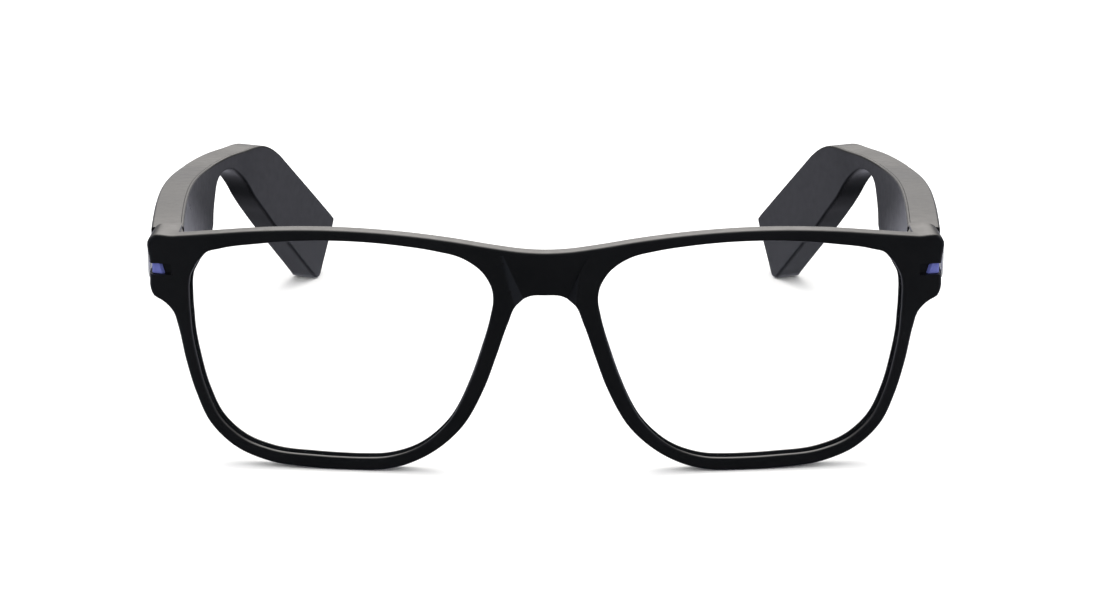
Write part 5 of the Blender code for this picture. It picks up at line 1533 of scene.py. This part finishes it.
@dataclass
class Studio:
    """White floor and surround, dark in front of the glasses so that the plastic reads black."""
    floor_size: float = 5.0
    floor_tone: float = 0.93
    lens: float = 100.0
    sensor: float = 36.0
    place: tuple[float, float, float] = (0.00025, -0.60819, 0.1974)
    pitch: float = math.radians(73.0)
    ambient: float = 1.35
    softbox_place: tuple[float, float, float] = (0.0, 0.15, 0.9)
    softbox_aim: tuple[float, float, float] = (0.0, 0.05, 0.0)
    softbox_size: Pair = (0.9, 0.7)
    softbox_power: float = 4.0
    softbox_colour: Colour = (1.0, 0.97, 0.93)
    front_glow: Colour = (0.011, 0.012, 0.015)
    turn_y: Pair = (-0.1, 0.6)
    gloss_scale: float = 4.0
    rear_glow: tuple = ((-1.0, 0.08, (0.95, 0.97, 1.1)), (-0.5, 1.25, (0.96, 0.96, 1.1)),
                        (-0.15, 1.5, (0.96, 0.96, 1.1)), (0.02, 0.5, (1.0, 1.0, 1.0)),
                        (0.15, 0.45, (1.04, 1.0, 0.95)), (0.32, 2.9, (1.04, 1.0, 0.96)),
                        (0.7, 2.9, (1.04, 1.0, 0.96)), (1.0, 1.2, (1.0, 1.0, 1.0)))
    rear_share: tuple = ((0.0, 1.0), (0.15, 1.0), (0.38, 0.2), (0.58, 0.2), (0.76, 0.45), (1.0, 0.4))
    front_share: tuple = ((0.0, 1.0), (0.6, 1.0), (0.84, 22.0), (1.0, 12.0))

    def floor(self) -> None:
        """A pale floor with a faint mottling."""
        shape = bmesh.new()
        bmesh.ops.create_grid(shape, x_segments=8, y_segments=8, size=self.floor_size / 2)
        data = bpy.data.meshes.new("floor")
        shape.to_mesh(data)
        shape.free()
        made = bpy.data.objects.new("floor", data)
        bpy.context.scene.collection.objects.link(made)
        tree = Tree("floor_paper")
        mottle = tree.noise(0.01, 2.0)
        low, high = (self.floor_tone,) * 3, (self.floor_tone + 0.02,) * 3
        tree.wire(tree.mixed(mottle, low, high), "Base Color")
        tree.wire(tree.spread(mottle, 0.0, 1.0, 0.85, 0.9), "Roughness")
        tree.set("Specular IOR Level", 0.0)
        data.materials.append(tree.made)
        made.visible_glossy = False

    def surround(self) -> None:
        """World light: white for the camera, and for gloss bright behind and dark in front."""
        world = bpy.data.worlds.new("studio")
        bpy.context.scene.world = world
        world.use_nodes = True
        nodes, links = world.node_tree.nodes, world.node_tree.links
        nodes.clear()
        out = nodes.new("ShaderNodeOutputWorld")
        path = nodes.new("ShaderNodeLightPath")
        place = nodes.new("ShaderNodeTexCoord")
        split = nodes.new("ShaderNodeSeparateXYZ")
        links.new(place.outputs["Generated"], split.inputs[0])

        def ramped(source: bpy.types.NodeSocket, stops: Sequence[tuple[float, Colour]]) -> bpy.types.NodeSocket:
            """Colour by a value from -1 to 1, divided by the gloss scale."""
            span = nodes.new("ShaderNodeMapRange")
            span.inputs["From Min"].default_value = -1.0
            links.new(source, span.inputs["Value"])
            band = nodes.new("ShaderNodeValToRGB")
            elements = band.color_ramp.elements
            for _ in range(len(stops) - 2):
                elements.new(0.5)
            for element, (position, colour) in zip(elements, stops):
                element.position = (position + 1) / 2
                element.color = (*(part / self.gloss_scale for part in colour), 1.0)
            links.new(span.outputs["Result"], band.inputs["Fac"])
            return band.outputs["Color"]

        def shared(colour: Colour | bpy.types.NodeSocket, shares: Sequence[Pair]) -> bpy.types.NodeSocket:
            """A colour times the share that its direction has to either side."""
            stops = [(x, (share * self.gloss_scale,) * 3) for x, share in shares]
            size = nodes.new("ShaderNodeMath")
            size.operation = "ABSOLUTE"
            links.new(split.outputs["X"], size.inputs[0])
            node = nodes.new("ShaderNodeVectorMath")
            node.operation = "MULTIPLY"
            links.new(ramped(size.outputs[0], stops), node.inputs[0])
            if isinstance(colour, tuple):
                node.inputs[1].default_value = colour
            else:
                links.new(colour, node.inputs[1])
            return node.outputs[0]

        height_glow = ramped(split.outputs["Z"], [(height, tuple(part * glow for part in tint))
                                                  for height, glow, tint in self.rear_glow])
        rear = shared(height_glow, self.rear_share)
        ahead = shared(tuple(part / self.gloss_scale for part in self.front_glow), self.front_share)
        turn = nodes.new("ShaderNodeMapRange")
        turn.interpolation_type = "SMOOTHSTEP"
        turn.inputs["From Min"].default_value, turn.inputs["From Max"].default_value = self.turn_y
        links.new(split.outputs["Y"], turn.inputs["Value"])
        gloss = nodes.new("ShaderNodeMix")
        gloss.data_type = "RGBA"
        links.new(turn.outputs["Result"], gloss.inputs["Factor"])
        links.new(ahead, gloss.inputs["A"])
        links.new(rear, gloss.inputs["B"])
        backgrounds = []
        for colour, strength in ((gloss.outputs["Result"], self.gloss_scale), ((1.0, 1.0, 1.0), self.ambient)):
            node = nodes.new("ShaderNodeBackground")
            node.inputs["Strength"].default_value = strength
            if isinstance(colour, tuple):
                node.inputs["Color"].default_value = (*colour, 1.0)
            else:
                links.new(colour, node.inputs["Color"])
            backgrounds.append(node)
        mix = nodes.new("ShaderNodeMixShader")
        links.new(path.outputs["Is Glossy Ray"], mix.inputs["Fac"])
        links.new(backgrounds[1].outputs[0], mix.inputs[1])
        links.new(backgrounds[0].outputs[0], mix.inputs[2])
        links.new(mix.outputs[0], out.inputs["Surface"])

    def softbox(self) -> None:
        """The area light overhead, which points at a spot."""
        data = bpy.data.lights.new("overhead", "AREA")
        data.shape = "RECTANGLE"
        data.size, data.size_y = self.softbox_size
        data.energy = self.softbox_power
        data.color = self.softbox_colour
        made = bpy.data.objects.new("overhead", data)
        made.location = self.softbox_place
        aim = Vector(self.softbox_aim) - Vector(self.softbox_place)
        made.rotation_euler = aim.to_track_quat("-Z", "Y").to_euler()
        made.visible_camera = False
        bpy.context.scene.collection.objects.link(made)

    def camera(self) -> None:
        """A long lens in front, looking down a little."""
        data = bpy.data.cameras.new("camera")
        data.lens, data.sensor_width = self.lens, self.sensor
        data.clip_start, data.clip_end = 0.01, 20.0
        made = bpy.data.objects.new("camera", data)
        made.location = self.place
        made.rotation_euler = (self.pitch, 0.0, 0.0)
        bpy.context.scene.collection.objects.link(made)
        bpy.context.scene.camera = made

    def build(self) -> None:
        """Floor, light and camera."""
        self.floor()
        self.surround()
        self.softbox()
        self.camera()
        view = bpy.context.scene.view_settings
        view.view_transform = "Standard"
        view.look = "None"


def packed_shift(joints: list[dict], hinge: Hinge) -> float:
    """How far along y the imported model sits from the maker's own frame, in millimetres."""
    fold = next(joint for joint in joints if joint["name"] == "temple_right_fold")
    return fold["pos_m"][1] / MM - hinge.place[1]


def main() -> None:
    """Build every sub-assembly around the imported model."""
    logging.basicConfig(level=logging.INFO, format="%(name)s: %(message)s")
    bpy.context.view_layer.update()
    bench = Bench(0.0)
    front = Front(bench)
    temple_form = TempleForm()
    hinge = Hinge(front, temple_form)
    bench.shift_y = packed_shift(frame["joints"], hinge)
    LOG.info("shift %.4f mm", bench.shift_y)
    drills = [hinge.screw.hole(seat, outwards) for side in Side for _, seat, outwards in hinge.front_seats(side)]
    front.dress_moulding(drills)
    front.dress_lenses()
    EndTrim(front).dress()
    for side in Side:
        hinge.dress_front_leaf(side, bench)
        Temple(bench, side, temple_form, hinge).dress()
    CarriedOver(frame["nodes"], bench).dress()
    Studio().build()
    LOG.info("%d pieces made", len(bench.pieces))
    bpy.context.view_layer.update()


if __name__ == "__main__":
    main()
